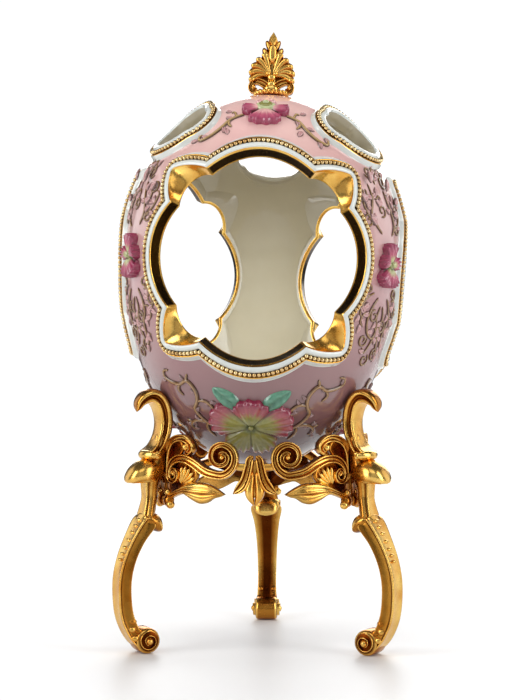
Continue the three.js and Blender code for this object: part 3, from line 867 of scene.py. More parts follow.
def side_pansy(heap, place):
    pansy(heap, place, SIDE_PETALS, 3.2, CREAM_PETAL, ROSE, DEEP_ROSE, 1.1)
    for angle in range(20, 380, 45):
        ray = np.array([math.cos(math.radians(angle)), math.sin(math.radians(angle))])
        leaf(heap, place, 0.4 * ray, 3.6 * ray, 1.3, 2.3, LEAF, LEAF_PALE, along=8, across=5)


flowers = Heap()
for k in range(3):
    az = math.radians(120 * k)
    low_pansy(flowers, on_egg(az, math.radians(LOW_LATITUDE)))
    high_pansy(flowers, on_egg(az, math.radians(HIGH_LATITUDE)))
    side_pansy(flowers, on_egg(az + math.pi / 3, math.radians(SIDE_LATITUDE)))
painted = flowers.build("painted_flowers", [PAINT])
settle(painted)
finish_mesh(painted, "egg_shell")

# %% [markdown]
# ## Sprays of vine
#
# Each spray is a few branching lines with small outlined leaves standing off both sides and
# tendrils that wind up. The maker lays the same spray three times round the egg, and mirrors the
# ones below and above the large openings, so the lines are written once and turned by a loop.

# %% Leaves and tendrils of a vine
def leafy(heap, stations, count, length, width, mirror=False, turn=0.0, colour=DUSKY, pale=DUSKY_PALE):
    """Small outlined leaves that stand off both sides of a vine."""
    swing = 0.85  # between a leaf and the vine, in radians
    line = smooth_path(np.array(stations, float) * ((-1, 1) if mirror else (1, 1)), 2 * count + 3)
    for i in range(count):
        before, (azimuth, z), after = line[2 * i + 1], line[2 * i + 2], line[min(2 * i + 3, len(line) - 1)]
        latitude = math.asin(z / (EGG_TOP if z > 0 else EGG_BOTTOM))
        sideways = math.radians(after[0] - before[0]) * EGG_RADIUS * math.cos(latitude)
        a = math.atan2(after[1] - before[1], sideways) + (swing if i % 2 else -swing)
        root, tip = (0.3 * math.cos(a), 0.3 * math.sin(a)), (length * math.cos(a), length * math.sin(a))
        leaf(heap, on_egg(math.radians(azimuth + turn), latitude), root, tip, width, 1.0, colour, pale,
             0.3, along=10, across=9, rim=TWIG)


def curl(azimuth, z, start, turns=1.3, size=2.5):
    """A tendril that winds up round a point of the egg."""
    t = np.linspace(0, 1, 9)
    r, a = size * (1 - 0.78 * t), math.radians(start) + 2 * math.pi * turns * t
    scale = math.degrees(1 / float(egg_radius(z)))
    return [(azimuth + x * scale, z + y * 0.95) for x, y in zip(r * np.cos(a), r * np.sin(a))]


# %% Routes of the vines
# Each entry is a line, as azimuth in degrees and height in mm, and its thickness.
LOW_VINES = [
    ([(25, -60.4), (29, -59.4), (32.5, -57.3), (34, -54.9), (30.8, -52.4), (29.8, -49.8), (31.3, -47.2),
      (34.2, -45.7), (39, -46.9), (44.5, -46.2), (48.4, -44.5), (47.6, -42.6), (44.4, -42.4)], 0.50),
    ([(30.8, -52.4), (26.3, -52.2), (22.7, -53.7), (21.8, -55.4), (24.4, -55.6)], 0.42),
    ([(34.2, -45.7), (32.7, -43.4)], 0.40),
    ([(39, -46.9), (40.8, -48.7), (38.7, -50.8)], 0.40),
    ([(28.3, -59.7), (34.7, -58.9), (41, -59.6), (44, -61.2), (41.4, -62.4)], 0.42),
    ([(41, -59.6), (45.6, -58.7)], 0.36),
    ([(29.7, -59.9), (30.4, -61.9), (27.2, -64.4)], 0.40)]
HIGH_VINES = [
    ([(13, 44.6), (17, 43.6), (20.4, 42.2), (23, 39.4), (27, 36.4), (31.6, 34.7), (33.6, 35.6),
      (32.6, 37.0)], 0.52),
    ([(20.4, 42.2), (19.6, 40.6), (17.4, 39.6)], 0.40),
    ([(17, 43.6), (20, 45.6), (22.2, 45.4)], 0.36)]
SIDE_VINES = [
    ([(-4, 6.5), (-7.6, 9.0), (-10.4, 12.0), (-9.4, 15.6), (-8.4, 19.0), (-9.6, 23.4)], 0.50),
    ([(4, 6.5), (6.4, 10.4), (5.2, 14.6), (3.2, 18.0), (2.0, 22.0)], 0.50),
    ([(-8.4, 19.0), (-5.6, 18.4), (-3.4, 19.6), (-1.6, 17.4)], 0.38),
    ([(-9.4, 14.6), (-12.4, 15.4), (-13.0, 18.0), (-11.2, 18.8)], 0.38),
    ([(5.4, 13.6), (8.4, 14.8), (9.2, 17.6), (7.4, 18.6)], 0.38),
    ([(-3.6, -14.8), (-6.6, -18.0), (-8.6, -22.0), (-7.2, -26.6), (-2.8, -28.6), (-1.0, -26.0),
      (-3.4, -24.2)], 0.50),
    ([(3.6, -14.8), (6.4, -18.4), (7.8, -22.6), (5.6, -27.2), (6.8, -31.4), (9.4, -30.2)], 0.50),
    ([(-8.0, -20.4), (-11.4, -20.6), (-12.8, -23.4), (-10.8, -25.0)], 0.38),
    ([(7.4, -20.8), (10.6, -21.2), (12.0, -24.0), (10.2, -25.6)], 0.38)]
SIDE_PAIRS = [
    ([(-6.6, -13.4), (-10.2, -14.8), (-13.0, -17.4), (-13.8, -20.8), (-11.8, -21.8)], 0.44),
    ([(-6.0, 8.6), (-9.6, 10.2), (-13.0, 13.0), (-14.6, 16.6), (-12.6, 17.8)], 0.44),
    ([(-3.6, 23.4), (-4.8, 26.6), (-2.6, 29.2), (-0.6, 27.4), (-1.8, 25.8)], 0.44),
    ([(-0.8, -17.6), (-2.4, -21.6), (-0.8, -25.4), (-2.6, -30.4), (-5.4, -33.6), (-7.6, -31.8)], 0.46)]
SIDE_CURLS = [(-7.0, 27.4, 200, 1.3), (3.6, 25.0, 330, -1.3), (-12.2, 10.2, 90, 1.2), (9.0, 9.4, 60, -1.2),
              (-2.6, 14.6, 250, 1.2), (10.4, 19.6, 200, 1.2), (-10.6, -12.4, 300, -1.3),
              (8.8, -13.2, 250, 1.3), (-4.4, -21.2, 80, 1.2), (3.2, -24.6, 100, -1.3),
              (-8.4, -29.4, 20, -1.3), (3.6, -34.0, 90, 1.3), (-3.4, -36.0, 60, -1.2),
              (-14.4, 19.6, 40, -1.2), (13.6, -18.6, 120, 1.2)]
# Single leaves: where each starts, in mm from the middle of its flower's place, and how far it reaches.
SIDE_BUDS = [(-8.4, 27.6, -0.6, 4.6), (1.8, 26.0, 1.2, 5.0), (-6.6, 13.4, -3.6, 2.4), (5.6, 18.0, 3.4, 1.4),
             (-7.8, -13.4, -3.4, -1.8), (6.6, -13.6, 3.6, -1.4), (0.0, -21.0, 0.2, -4.4),
             (5.6, -26.6, 2.4, -3.6), (-11.4, 20.6, -3.0, 2.6), (8.2, 22.4, 2.8, 2.6)]
HIGH_BUDS = [(11.4, -6.4, -1.4, -3.0), (12.8, 2.8, 3.0, 1.4), (18.2, -9.4, 2.6, 0.6)]
HIGH_BUD_LATITUDE = 50
print("lines of vine in one spray:", len(LOW_VINES + HIGH_VINES + SIDE_VINES + SIDE_PAIRS) + len(SIDE_CURLS))


# %% Lay the vines on the egg
def window_sprays(heap, turn, mirror):
    """What is laid out from the middle of a large opening, to one side of it."""
    for stations, thick in LOW_VINES:
        vine(heap, stations, thick * 1.6, mirror, turn, pale=TWIG_DIM_HIGHLIGHT)
    for stations, thick in HIGH_VINES:
        vine(heap, stations, thick * 1.4, mirror, turn)
    for stations, thick in SIDE_PAIRS:
        vine(heap, stations, thick * 1.1, mirror, turn + 60, pale=TWIG_DIM_HIGHLIGHT)
        leafy(heap, stations, 3, 3.6, 2.2, mirror, turn + 60)
    for stations, _ in LOW_VINES[:2] + LOW_VINES[4:5]:
        leafy(heap, stations, 4, 3.0, 1.5, mirror, turn, LOW_LEAF, LOW_LEAF_PALE)
    leafy(heap, HIGH_VINES[0][0], 4, 3.6, 1.9, mirror, turn)


def small_leaf(heap, place, x, y, dx, dy, width, rise):
    leaf(heap, place, (x, y), (x + dx, y + dy), width, rise, DUSKY, DUSKY_PALE, along=10, across=9, rim=TWIG)


vines = Heap()
for turn in (0, 120, 240):
    for azimuth, z, start, turns in SIDE_CURLS:
        vine(vines, curl(azimuth, z, start, turns), 0.48, turn=turn + 60, pale=TWIG_DIM_HIGHLIGHT, fine=3, sides=6)
    window_sprays(vines, turn, mirror=False)
    window_sprays(vines, turn, mirror=True)
    for stations, thick in SIDE_VINES:
        vine(vines, stations, thick * 1.15, turn=turn + 60, pale=TWIG_DIM_HIGHLIGHT)
        leafy(vines, stations, 3, 3.8, 2.3, turn=turn + 60)
    for bud in SIDE_BUDS:
        small_leaf(vines, on_egg(math.radians(turn + 60), math.radians(SIDE_LATITUDE)), *bud, 2.8, 1.1)
    for s in (-1, 1):
        for x, y, dx, dy in HIGH_BUDS:
            above = on_egg(math.radians(turn), math.radians(HIGH_BUD_LATITUDE))
            small_leaf(vines, above, x * s, y, dx * s, dy, 2.0, 0.9)
relief = vines.build("relief_vines", [PAINT])
settle(relief)
finish_mesh(relief, "egg_shell")

# %% [markdown]
# ## Castings: one section swept along a curve
#
# The stand is cast in pieces, and every piece is made of straps: a shaped cross-section that runs
# along a curve, swelling and thinning as it goes. So one helper sweeps a section along a plane
# curve. Each station gives a point, half the thickness (in the curve's plane) and half the width
# (across it). The section's own points are shares of those two. Hollows and faces turned away from
# the lamps get a darker, redder tint: partly the plating's first bloom in hollows, which a polishing
# wheel never reaches, and partly painted shade.

# %% Sweep helper
# Full gold, then tints for half shade, hollows and dull faces: painted shade, with the plating's bloom in the
# hollows.
BRIGHT, HALF_SHADE = (1.0, 1.0, 1.0), (0.56, 0.37, 0.205)
HOLLOW_BLOOM_AND_SHADE, DULL_SHADE = (0.12, 0.04, 0.014), (0.42, 0.32, 0.19)


def both_sides(half):
    """A closed section from its half with y >= 0, as (n, y, tint) entries from outer face to inner."""
    return half + [(n, -y, tint) for n, y, tint in half[::-1] if y > 1e-6]


def strap(heap, stations, section, place, fine=6, cap=3):
    """fine: rings for each station. cap: rings over which both ends are rounded off."""
    stations = [(*point, thick, wide) for point, thick, wide in stations]
    count = fine * (len(stations) - 1) + 1
    path = smooth_path(stations, count)
    along = np.gradient(path[:, :2], axis=0)
    along /= np.linalg.norm(along, axis=1, keepdims=True)
    size = np.ones(count)
    ends = np.sin(np.linspace(0.12, 1, cap + 1)[:-1] * math.pi / 2)
    size[:cap], size[-cap:] = ends, ends[::-1]
    n, y, tints = (np.array([entry[i] for entry in section]) for i in range(3))
    thick = (np.clip(path[:, 2], 0.05, None) * size)[:, None] * n
    wide = (np.clip(path[:, 3], 0.05, None) * size)[:, None] * y
    x = path[:, 0, None] + along[:, 1, None] * thick
    z = path[:, 1, None] - along[:, 0, None] * thick
    ring = np.stack([x, wide, z], axis=-1)
    middle = np.stack([path[[0, -1], 0], [0, 0], path[[0, -1], 1]], axis=-1)
    points = np.vstack([ring.reshape(-1, 3), middle])
    m, total = len(n), count * len(n)
    faces = grid_faces(count, m, around=True)
    faces += [((j + 1) % m, j, total) for j in range(m)]
    faces += [(total - m + j, total - m + (j + 1) % m, total + 1) for j in range(m)]
    tone = np.vstack([np.tile(tints, (count, 1)), tints[:2]])
    heap.add(place(points), faces, with_alpha(tone))


def leg_place(azimuth):
    """From a leg's own plane (x outwards, y across, z up) to its azimuth in degrees."""
    a = math.radians(azimuth)

    def place(points):
        x, y, z = points[..., 0], points[..., 1], points[..., 2]
        return np.stack([x * math.sin(a) + y * math.cos(a), -x * math.cos(a) + y * math.sin(a), z], axis=-1)
    return place


# %% [markdown]
# ## Legs
#
# Each leg has an acanthus hook that holds the egg, a rolled lip, a smooth hooded knee, a narrow
# neck with a collar, and a bowed shin that ends in a rolled foot. The straps' stations follow the
# solid model's; the sections add the ridges and channels of the casting.

# %% Sections of the leg
# Entries are n (outwards positive), y (across the leg) and the tint, whose darker values are painted shade.
HOOK = both_sides([(0.98, 0.0, BRIGHT), (0.98, 0.30, BRIGHT), (0.94, 0.56, BRIGHT), (0.90, 0.74, BRIGHT),
                   (0.90, 0.84, BRIGHT), (0.80, 0.93, BRIGHT), (0.62, 0.96, BRIGHT), (0.48, 0.90, HALF_SHADE),
                   (0.34, 0.72, HOLLOW_BLOOM_AND_SHADE), (0.12, 0.66, HOLLOW_BLOOM_AND_SHADE), (-0.04, 0.78, HALF_SHADE),
                   (-0.16, 0.94, BRIGHT), (-0.30, 1.01, BRIGHT), (-0.52, 0.98, BRIGHT),
                   (-0.76, 0.86, HALF_SHADE), (-0.94, 0.62, HALF_SHADE), (-1.0, 0.3, HALF_SHADE), (-1.0, 0.0, HALF_SHADE)])
SMOOTH = both_sides([(1.0, 0.0, BRIGHT), (0.97, 0.28, BRIGHT), (0.86, 0.54, BRIGHT), (0.64, 0.78, BRIGHT),
                     (0.32, 0.94, BRIGHT), (0.0, 1.0, HALF_SHADE), (-0.5, 0.92, HALF_SHADE), (-0.9, 0.6, HOLLOW_BLOOM_AND_SHADE),
                     (-1.0, 0.0, HOLLOW_BLOOM_AND_SHADE)])
SHIN = both_sides([(0.88, 0.0, BRIGHT), (0.90, 0.40, BRIGHT), (0.96, 0.70, BRIGHT), (1.0, 0.84, BRIGHT),
                   (0.92, 0.92, BRIGHT), (0.76, 0.90, BRIGHT), (0.62, 0.84, HOLLOW_BLOOM_AND_SHADE), (0.36, 0.82, DULL_SHADE),
                   (-0.1, 0.84, DULL_SHADE), (-0.5, 0.88, DULL_SHADE), (-0.84, 0.97, HALF_SHADE), (-0.96, 1.0, BRIGHT),
                   (-1.02, 0.92, BRIGHT), (-1.0, 0.62, HALF_SHADE), (-0.84, 0.34, HOLLOW_BLOOM_AND_SHADE),
                   (-0.74, 0.0, HOLLOW_BLOOM_AND_SHADE)])
HOOD = both_sides([(1.0, 0.0, BRIGHT), (0.97, 0.28, BRIGHT), (0.86, 0.54, BRIGHT), (0.62, 0.80, BRIGHT),
                   (0.2, 0.97, BRIGHT), (-0.28, 0.98, BRIGHT), (-0.60, 0.94, HALF_SHADE),
                   (-0.86, 0.90, BRIGHT), (-0.92, 0.78, BRIGHT), (-0.62, 0.62, HOLLOW_BLOOM_AND_SHADE),
                   (-0.40, 0.36, HOLLOW_BLOOM_AND_SHADE), (-0.34, 0.0, HOLLOW_BLOOM_AND_SHADE)])
NECK = both_sides([(0.92, 0.0, BRIGHT), (0.96, 0.40, BRIGHT), (1.0, 0.62, BRIGHT), (0.92, 0.74, BRIGHT),
                   (0.66, 0.78, HOLLOW_BLOOM_AND_SHADE), (0.50, 0.86, HALF_SHADE), (0.40, 0.95, BRIGHT), (0.1, 1.0, HALF_SHADE),
                   (-0.4, 1.0, DULL_SHADE), (-1.0, 0.7, HALF_SHADE), (-0.9, 0.0, HOLLOW_BLOOM_AND_SHADE)])

# %% Lines of the leg
# Entries are a point (outwards, up), half the thickness and half the width.
HOOK_LINE = [((47.7, 82.8), 0.6, 1.4), ((46.7, 86.0), 1.6, 2.9), ((44.0, 88.1), 2.3, 3.9),
             ((41.2, 87.9), 2.6, 4.3), ((38.9, 85.2), 2.6, 4.3), ((37.7, 80.8), 2.6, 4.0),
             ((37.9, 76.6), 2.5, 3.9), ((39.2, 72.8), 2.3, 4.1), ((41.2, 70.0), 1.9, 4.7),
             ((43.4, 68.5), 1.6, 5.2), ((44.9, 68.0), 1.3, 5.0)]
TRUNK_LINE = [((38.6, 77.0), 1.8, 2.6), ((39.4, 71.0), 2.8, 3.4), ((40.6, 66.0), 3.6, 3.8),
              ((42.0, 61.8), 3.5, 4.2), ((42.9, 57.6), 2.5, 3.8), ((43.2, 53.0), 2.0, 3.5),
              ((44.0, 48.8), 2.0, 4.3), ((45.0, 45.4), 2.0, 5.1)]
KNEE_LINE = [((39.6, 63.4), 2.8, 3.4), ((42.6, 63.0), 4.0, 5.0), ((45.6, 62.2), 4.0, 5.8),
             ((48.0, 61.2), 3.2, 5.8), ((49.8, 60.0), 2.1, 4.8), ((50.8, 59.0), 1.1, 3.2),
             ((51.1, 58.4), 0.3, 1.2)]
SHIN_LINE = [((43.4, 46.8), 1.6, 5.5), ((45.4, 44.3), 2.3, 6.0), ((48.6, 39.2), 2.1, 5.0),
             ((51.4, 33.0), 2.1, 4.3), ((53.0, 26.5), 2.2, 3.9), ((53.2, 20.0), 2.25, 3.7),
             ((52.4, 13.4), 2.3, 3.6), ((50.2, 7.8), 2.2, 3.8), ((47.8, 4.2), 1.9, 4.0),
             ((45.2, 2.0), 1.5, 4.1)]

# %% [markdown]
# ## Foot, lip and collar
#
# The smaller forms of the leg are rolled, swelled or set on. A rolled foot is a drum with a band
# that winds up on its sides, the lip is a roll that crosses the hook's foot, and the beads below
# the collar are ellipsoids on the shin's outer face. They overlap the straps, as in one casting.

# %% Foot
def flipped(section):
    """The same section with its outer face turned to the other side of the line."""
    return [(-n, y, tint) for n, y, tint in section]


def coil(heap, place, middle, outer, inner, turns, start, band, half_width, section, direction=1, fine=26):
    """A band that rolls up round a point: the foot's roll or a volute."""
    count = int(fine * turns)
    t = np.linspace(0, 1, count)
    angle = start + direction * 2 * math.pi * turns * t
    radius = outer + (inner - outer) * t ** 0.9
    stations = [((middle[0] + r * math.cos(a), middle[1] + r * math.sin(a)), band * (1 - 0.45 * f), w)
                for r, a, f, w in zip(radius, angle, t, half_width(t))]
    strap(heap, stations, section, place, fine=1, cap=2)


COIL_BAND = both_sides([
    (1.0, 0.0, HALF_SHADE), (1.0, 0.72, BRIGHT), (0.92, 0.94, BRIGHT), (0.66, 1.0, BRIGHT), (0.40, 0.94, BRIGHT),
    (0.16, 0.76, HOLLOW_BLOOM_AND_SHADE), (-0.5, 0.70, HOLLOW_BLOOM_AND_SHADE), (-1.0, 0.66, HOLLOW_BLOOM_AND_SHADE), (-1.0, 0.0, HOLLOW_BLOOM_AND_SHADE)])
FOOT_EYE = (44.9, 4.4)
FOOT_AROUND = 48
FOOT_LEAVES = [(49.4, 5.6), (48.2, 8.0), (50.4, 8.6), (50.2, 11.2)]
# The rolled foot is a drum: each entry is a radius, a place across the leg and a tint.
FOOT_DRUM = [(0.1, -4.1, HOLLOW_BLOOM_AND_SHADE), (3.3, -4.2, HOLLOW_BLOOM_AND_SHADE), (4.1, -3.9, BRIGHT), (4.38, -3.0, HALF_SHADE),
             (4.38, 3.0, HALF_SHADE), (4.1, 3.9, BRIGHT), (3.3, 4.2, HOLLOW_BLOOM_AND_SHADE), (0.1, 4.1, HOLLOW_BLOOM_AND_SHADE)]


def foot(heap, place):
    """The shin's end rolls up into a scroll with a boss in its eye."""
    a = np.linspace(0, 2 * math.pi, FOOT_AROUND, endpoint=False)
    eye_x, eye_z = FOOT_EYE
    drum = [np.stack([eye_x + r * np.cos(a), np.full(FOOT_AROUND, y), eye_z + r * np.sin(a)], axis=-1)
            for r, y, _ in FOOT_DRUM]
    tone = np.repeat(np.array([tint for _, _, tint in FOOT_DRUM]), FOOT_AROUND, axis=0)
    heap.add(place(np.array(drum)), grid_faces(len(FOOT_DRUM), FOOT_AROUND, around=True), with_alpha(tone))
    coil(heap, place, FOOT_EYE, 3.3, 1.0, 1.6, math.radians(120), 0.62, lambda t: 4.8 + 0.9 * t,
         flipped(COIL_BAND), -1)
    for y in (-1, 1):
        knob(heap, place, (eye_x, 4.6 * y, eye_z), (1.25, 1.5, 1.25), BRIGHT)
        for i, (x, z) in enumerate(FOOT_LEAVES):
            knob(heap, place, (x, (3.1 - 0.2 * i) * y, z), (1.5, 1.2, 1.2), HALF_SHADE if i % 2 else BRIGHT,
                 12, 7)


# %% Lip, collar and beads
LIP_ROLL = [((-1.6, -5.6), 0.9, 0.9), ((-0.2, -4.4), 1.5, 1.4), ((1.0, -2.2), 1.75, 1.6),
            ((1.4, 0.0), 1.8, 1.65), ((1.0, 2.2), 1.75, 1.6), ((-0.2, 4.4), 1.5, 1.4),
            ((-1.6, 5.6), 0.9, 0.9)]
LIP_OUT, LIP_LEVEL = 43.4, 68.0
COLLAR_LINE = [((47.2, 45.6), 1.4, 4.4), ((44.6, 45.9), 2.6, 5.4), ((42.0, 44.8), 2.9, 5.3),
               ((40.2, 42.6), 1.7, 4.2), ((39.4, 41.2), 0.4, 2.0)]
BEAD_STEPS = 7
BEAD_STEPS_LINE = [(46.9, 45.6), (49.4, 41.4), (52.2, 36.4), (54.0, 32.4)]


def lip(heap, place):
    """The rolled lip that crosses the foot of the hook."""
    def across(points):
        return place(np.stack([points[..., 0] + LIP_OUT, points[..., 2], points[..., 1] + LIP_LEVEL],
                              axis=-1))
    strap(heap, LIP_ROLL, SMOOTH, across)
    for y in (-1, 1):
        knob(heap, place, (42.0, 5.2 * y, LIP_LEVEL), (1.5, 0.9, 1.5), BRIGHT)
        knob(heap, place, (42.0, 5.9 * y, LIP_LEVEL), (0.6, 0.6, 0.6), HALF_SHADE, 10, 6)


def bead_steps(heap, place):
    """Beads that stand on the outer face below the collar, graded downwards."""
    for i, (x, z) in enumerate(smooth_path(BEAD_STEPS_LINE, BEAD_STEPS)):
        size = 1.25 - 0.45 * i / (BEAD_STEPS - 1)
        knob(heap, place, (x - 0.2, 0, z), (size * 0.9, size * 1.5, size * 0.72), BRIGHT)


# %% Build the legs
def build_leg(name, azimuth):
    heap, place = Heap(), leg_place(azimuth)
    for line, section in ((HOOK_LINE, HOOK), (TRUNK_LINE, NECK), (KNEE_LINE, HOOD), (SHIN_LINE, SHIN)):
        strap(heap, line, flipped(section), place)
    lip(heap, place)
    strap(heap, COLLAR_LINE, SMOOTH, place)  # the shin's head, which swells behind the neck
    foot(heap, place)
    bead_steps(heap, place)
    piece = heap.build(f"cast_{name}", [GOLD])
    return finish_mesh(piece, name)


for side, azimuth in (("right", 60), ("left", -60), ("back", 180)):
    build_leg(f"leg_{side}", azimuth)

# %% [markdown]
# ## Pierced galleries
#
# Between two legs hangs a pierced casting: a lily in the middle, a volute at each side of it, and
# a long scroll that runs to the leg over a drooping leaf. It is drawn flat, as a pattern maker
# draws it, and bent to the ring's radius at the end. The scrolls are shallow channels with thin
# raised edges, so one channelled section serves for all of them.

# %% Drawing flat and bending
RING_RADIUS = 37.0


def bent(side, azimuth):
    """From the flat drawing (x along the ring, y outwards, z up) to the ring."""
    turn = math.radians(azimuth)

    def place(points):
        a = turn + side * points[..., 0] / RING_RADIUS
        r = RING_RADIUS + points[..., 1]
        return np.stack([r * np.sin(a), -r * np.cos(a), points[..., 2]], axis=-1)
    return place


# Entries are n (across the band), y (through the casting, outwards positive) and the tint.
CHANNEL = [(-1.0, -0.80, HOLLOW_BLOOM_AND_SHADE), (-1.04, 0.0, HALF_SHADE), (-1.0, 0.80, BRIGHT), (-0.88, 1.02, BRIGHT),
           (-0.72, 1.02, BRIGHT), (-0.60, 0.86, HALF_SHADE), (-0.46, 0.56, HOLLOW_BLOOM_AND_SHADE), (-0.20, 0.42, HALF_SHADE),
           (0.10, 0.42, BRIGHT), (0.40, 0.56, HALF_SHADE), (0.58, 0.84, HALF_SHADE), (0.72, 1.02, BRIGHT),
           (0.88, 1.02, BRIGHT), (1.0, 0.80, BRIGHT), (1.04, 0.0, HALF_SHADE), (1.0, -0.80, HOLLOW_BLOOM_AND_SHADE),
           (0.6, -1.0, HALF_SHADE), (-0.6, -1.0, HALF_SHADE)]
# A round bar: full gold on its outer half and painted shade on its back half.
ROUND_BAR = [(math.cos(a), math.sin(a), BRIGHT if math.sin(a) > 0.1 else HALF_SHADE)
             for a in np.linspace(0, 2 * math.pi, 12, endpoint=False)]


def polar(middle, turns):
    """Points round a centre, from (angle in degrees, radius) pairs."""
    x, z = middle
    return [(x + r * math.cos(math.radians(a)), z + r * math.sin(math.radians(a))) for a, r in turns]


VOLUTE, LITTLE_VOLUTE = (10.9, 67.8), (31.4, 61.6)
BIG_ROLL = polar(VOLUTE, [(-700, 0.95), (-630, 1.45), (-585, 1.8), (-540, 2.1), (-495, 2.35), (-450, 2.65),
                          (-405, 3.2), (-360, 3.75), (-315, 4.15), (-270, 4.4), (-225, 4.35), (-180, 4.45),
                          (-135, 5.0), (-95, 5.9)])
LITTLE_ROLL = polar(LITTLE_VOLUTE, [(40, 3.0), (0, 2.75), (-45, 2.6), (-90, 2.45), (-135, 2.3),
                                    (-180, 2.1), (-225, 1.8), (-270, 1.5), (-330, 1.1), (-390, 0.8)])
SWEEP = [(14.6, 62.2), (17.8, 63.3), (21.2, 65.4), (25.0, 66.9), (28.8, 66.9), (31.8, 65.6)]
SWEEP_BANDS = [0.5, 0.55, 0.6, 0.64, 0.68, 0.74, 0.8, 0.86, 0.9, 0.95, 1.0, 1.05, 1.15, 1.3, 1.45, 1.5,
               1.5, 1.45, 1.35, 1.2, 1.0, 0.9, 0.85, 0.8, 0.75, 0.7, 0.62, 0.55, 0.48, 0.42]
# From the leg, over the top, to its hooked end.
UPPER_SCROLL = [(36.2, 59.0), (36.0, 64.0), (35.2, 69.0), (33.0, 72.2), (29.6, 73.8), (26.0, 73.9),
                (23.4, 72.4), (22.8, 70.2), (24.2, 69.0), (25.8, 69.7)]


# %% Bands and dishes
def scroll_band(heap, place, points, bands, depth=1.75, fine=4):
    bands = np.interp(np.linspace(0, 1, len(points)), np.linspace(0, 1, len(bands)), bands)
    strap(heap, [(p, b, depth) for p, b in zip(points, bands)], CHANNEL, place, fine=fine)


def dish(heap, place, outline, heart, rim, deep, back, fine=5):
    """A hollowed plate inside an outline that can be seen whole from its heart."""
    ring = smooth_path(list(outline) + [outline[0]], fine * len(outline) + 1)[:-1]
    n, heart = len(ring), np.array(heart, float)
    rows, tones = [], []
    # The rim is half shaded and the floor and the back are dark: painted shade.
    for f, y, tone in ((1.0, back, HOLLOW_BLOOM_AND_SHADE), (1.0, rim, HALF_SHADE), (0.86, rim * 0.6 + deep * 0.4, HALF_SHADE),
                       (0.6, deep * 0.8 + rim * 0.2, HOLLOW_BLOOM_AND_SHADE), (0.3, deep, HOLLOW_BLOOM_AND_SHADE), (0.02, deep, HOLLOW_BLOOM_AND_SHADE)):
        flat = heart + (ring - heart) * f
        rows.append(np.column_stack([flat[:, 0], np.full(n, y), flat[:, 1]]))
        tones.append(np.tile(tone, (n, 1)))
    rows.insert(0, np.column_stack([heart + (ring - heart) * 0.02, np.full(n, back)])[:, [0, 2, 1]])
    tones.insert(0, np.tile(HOLLOW_BLOOM_AND_SHADE, (n, 1)))
    faces = grid_faces(len(rows), n, around=True)
    faces += [tuple(range(n))[::-1], tuple(range((len(rows) - 1) * n, len(rows) * n))]
    heap.add(place(np.array(rows)), faces, with_alpha(np.vstack(tones)))


# %% [markdown]
# ## Leaf, fan and lily of a gallery
#
# The leaf under the long scroll is a grid from its root to its tip whose height is a sum of soft
# ridges and grooves: a fold along the middle, a cleft below it and a groove at each side. Sculpt
# Mode could carve it, but a formula can be changed and gives all six leaves at once.

# %% Drooping leaf
LEAF_ROOT, LEAF_TIP = 37.2, 10.2
# Along the leaf, from root to tip: the share of its length, the height of its midrib, and how far
# it reaches above and below that.
LEAF_OUTLINE = [(0.0, 53.2, 1.2, 1.2), (0.18, 54.4, 1.2, 1.0), (0.32, 55.6, 1.6, 1.2),
                (0.43, 56.4, 2.0, 1.6), (0.56, 56.4, 2.7, 3.2), (0.68, 56.2, 2.9, 4.2),
                (0.78, 56.1, 2.6, 3.7), (0.86, 55.8, 2.0, 1.9), (0.94, 55.6, 1.0, 1.1),
                (1.0, 55.4, 0.1, 0.1)]


def drooping_leaf(heap, place):
    """The leaf under the long scroll: from its root by the leg to its tip by the lily."""
    along, across = 48, 27
    t = np.linspace(0, 1, along)[:, None]
    s = np.linspace(-1, 1, across)[None]
    x = LEAF_ROOT + (LEAF_TIP - LEAF_ROOT) * t
    knots = [share for share, *_ in LEAF_OUTLINE]
    rows = smooth_path([row for _, *row in LEAF_OUTLINE], 90)
    shares = np.interp(np.arange(90), np.linspace(0, 89, len(knots)), knots)
    middle, top, under = (np.interp(t, shares, rows[:, k]) for k in range(3))
    z = middle + np.where(s > 0, s * top, s * under)
    x = x + 1.2 * np.clip(-s, 0, 1) * np.sin(math.pi * t) ** 2
    fold = np.exp(-(((s + 0.02) / 0.10) ** 2))
    groove = np.exp(-(((s - 0.42) / 0.09) ** 2)) + np.exp(-(((s + 0.55) / 0.10) ** 2)) * (t > 0.4)
    body = np.clip(1 - np.abs(s) ** 2.4, 0, 1) ** 0.6 * np.sin(math.pi * np.clip(t, 0.04, 0.985)) ** 0.4
    cleft = np.exp(-(((s + 0.26) / 0.09) ** 2)) * np.sin(math.pi * t) ** 0.5
    face = 0.2 + 1.35 * body + 0.50 * fold * body - (0.35 * groove + 0.85 * cleft) * body
    front = np.stack([x, face, z], axis=-1)
    back = np.stack([x, -0.9 - 0.3 * body, z], axis=-1)[:, ::-1]
    shell = np.concatenate([front, back], axis=1)
    # Painted shade in the grooves and the cleft, along the lower edge and over the back.
    leaf_shade = np.clip(groove * 0.5 + cleft + np.clip(-s - 0.5, 0, 1) * 0.9, 0, 1) * np.ones_like(t)
    tone = blend(BRIGHT, HOLLOW_BLOOM_AND_SHADE, np.concatenate([leaf_shade, np.full((along, across), 0.6)], axis=1))
    heap.add(place(shell), grid_faces(along, 2 * across, around=True), with_alpha(tone).reshape(-1, 4))
    for end, order in ((0, -1), (-1, 1)):
        ring = tuple(range(2 * across))[::order]
        heap.add(place(shell[end]), [ring], with_alpha(np.ones((2 * across, 3))))


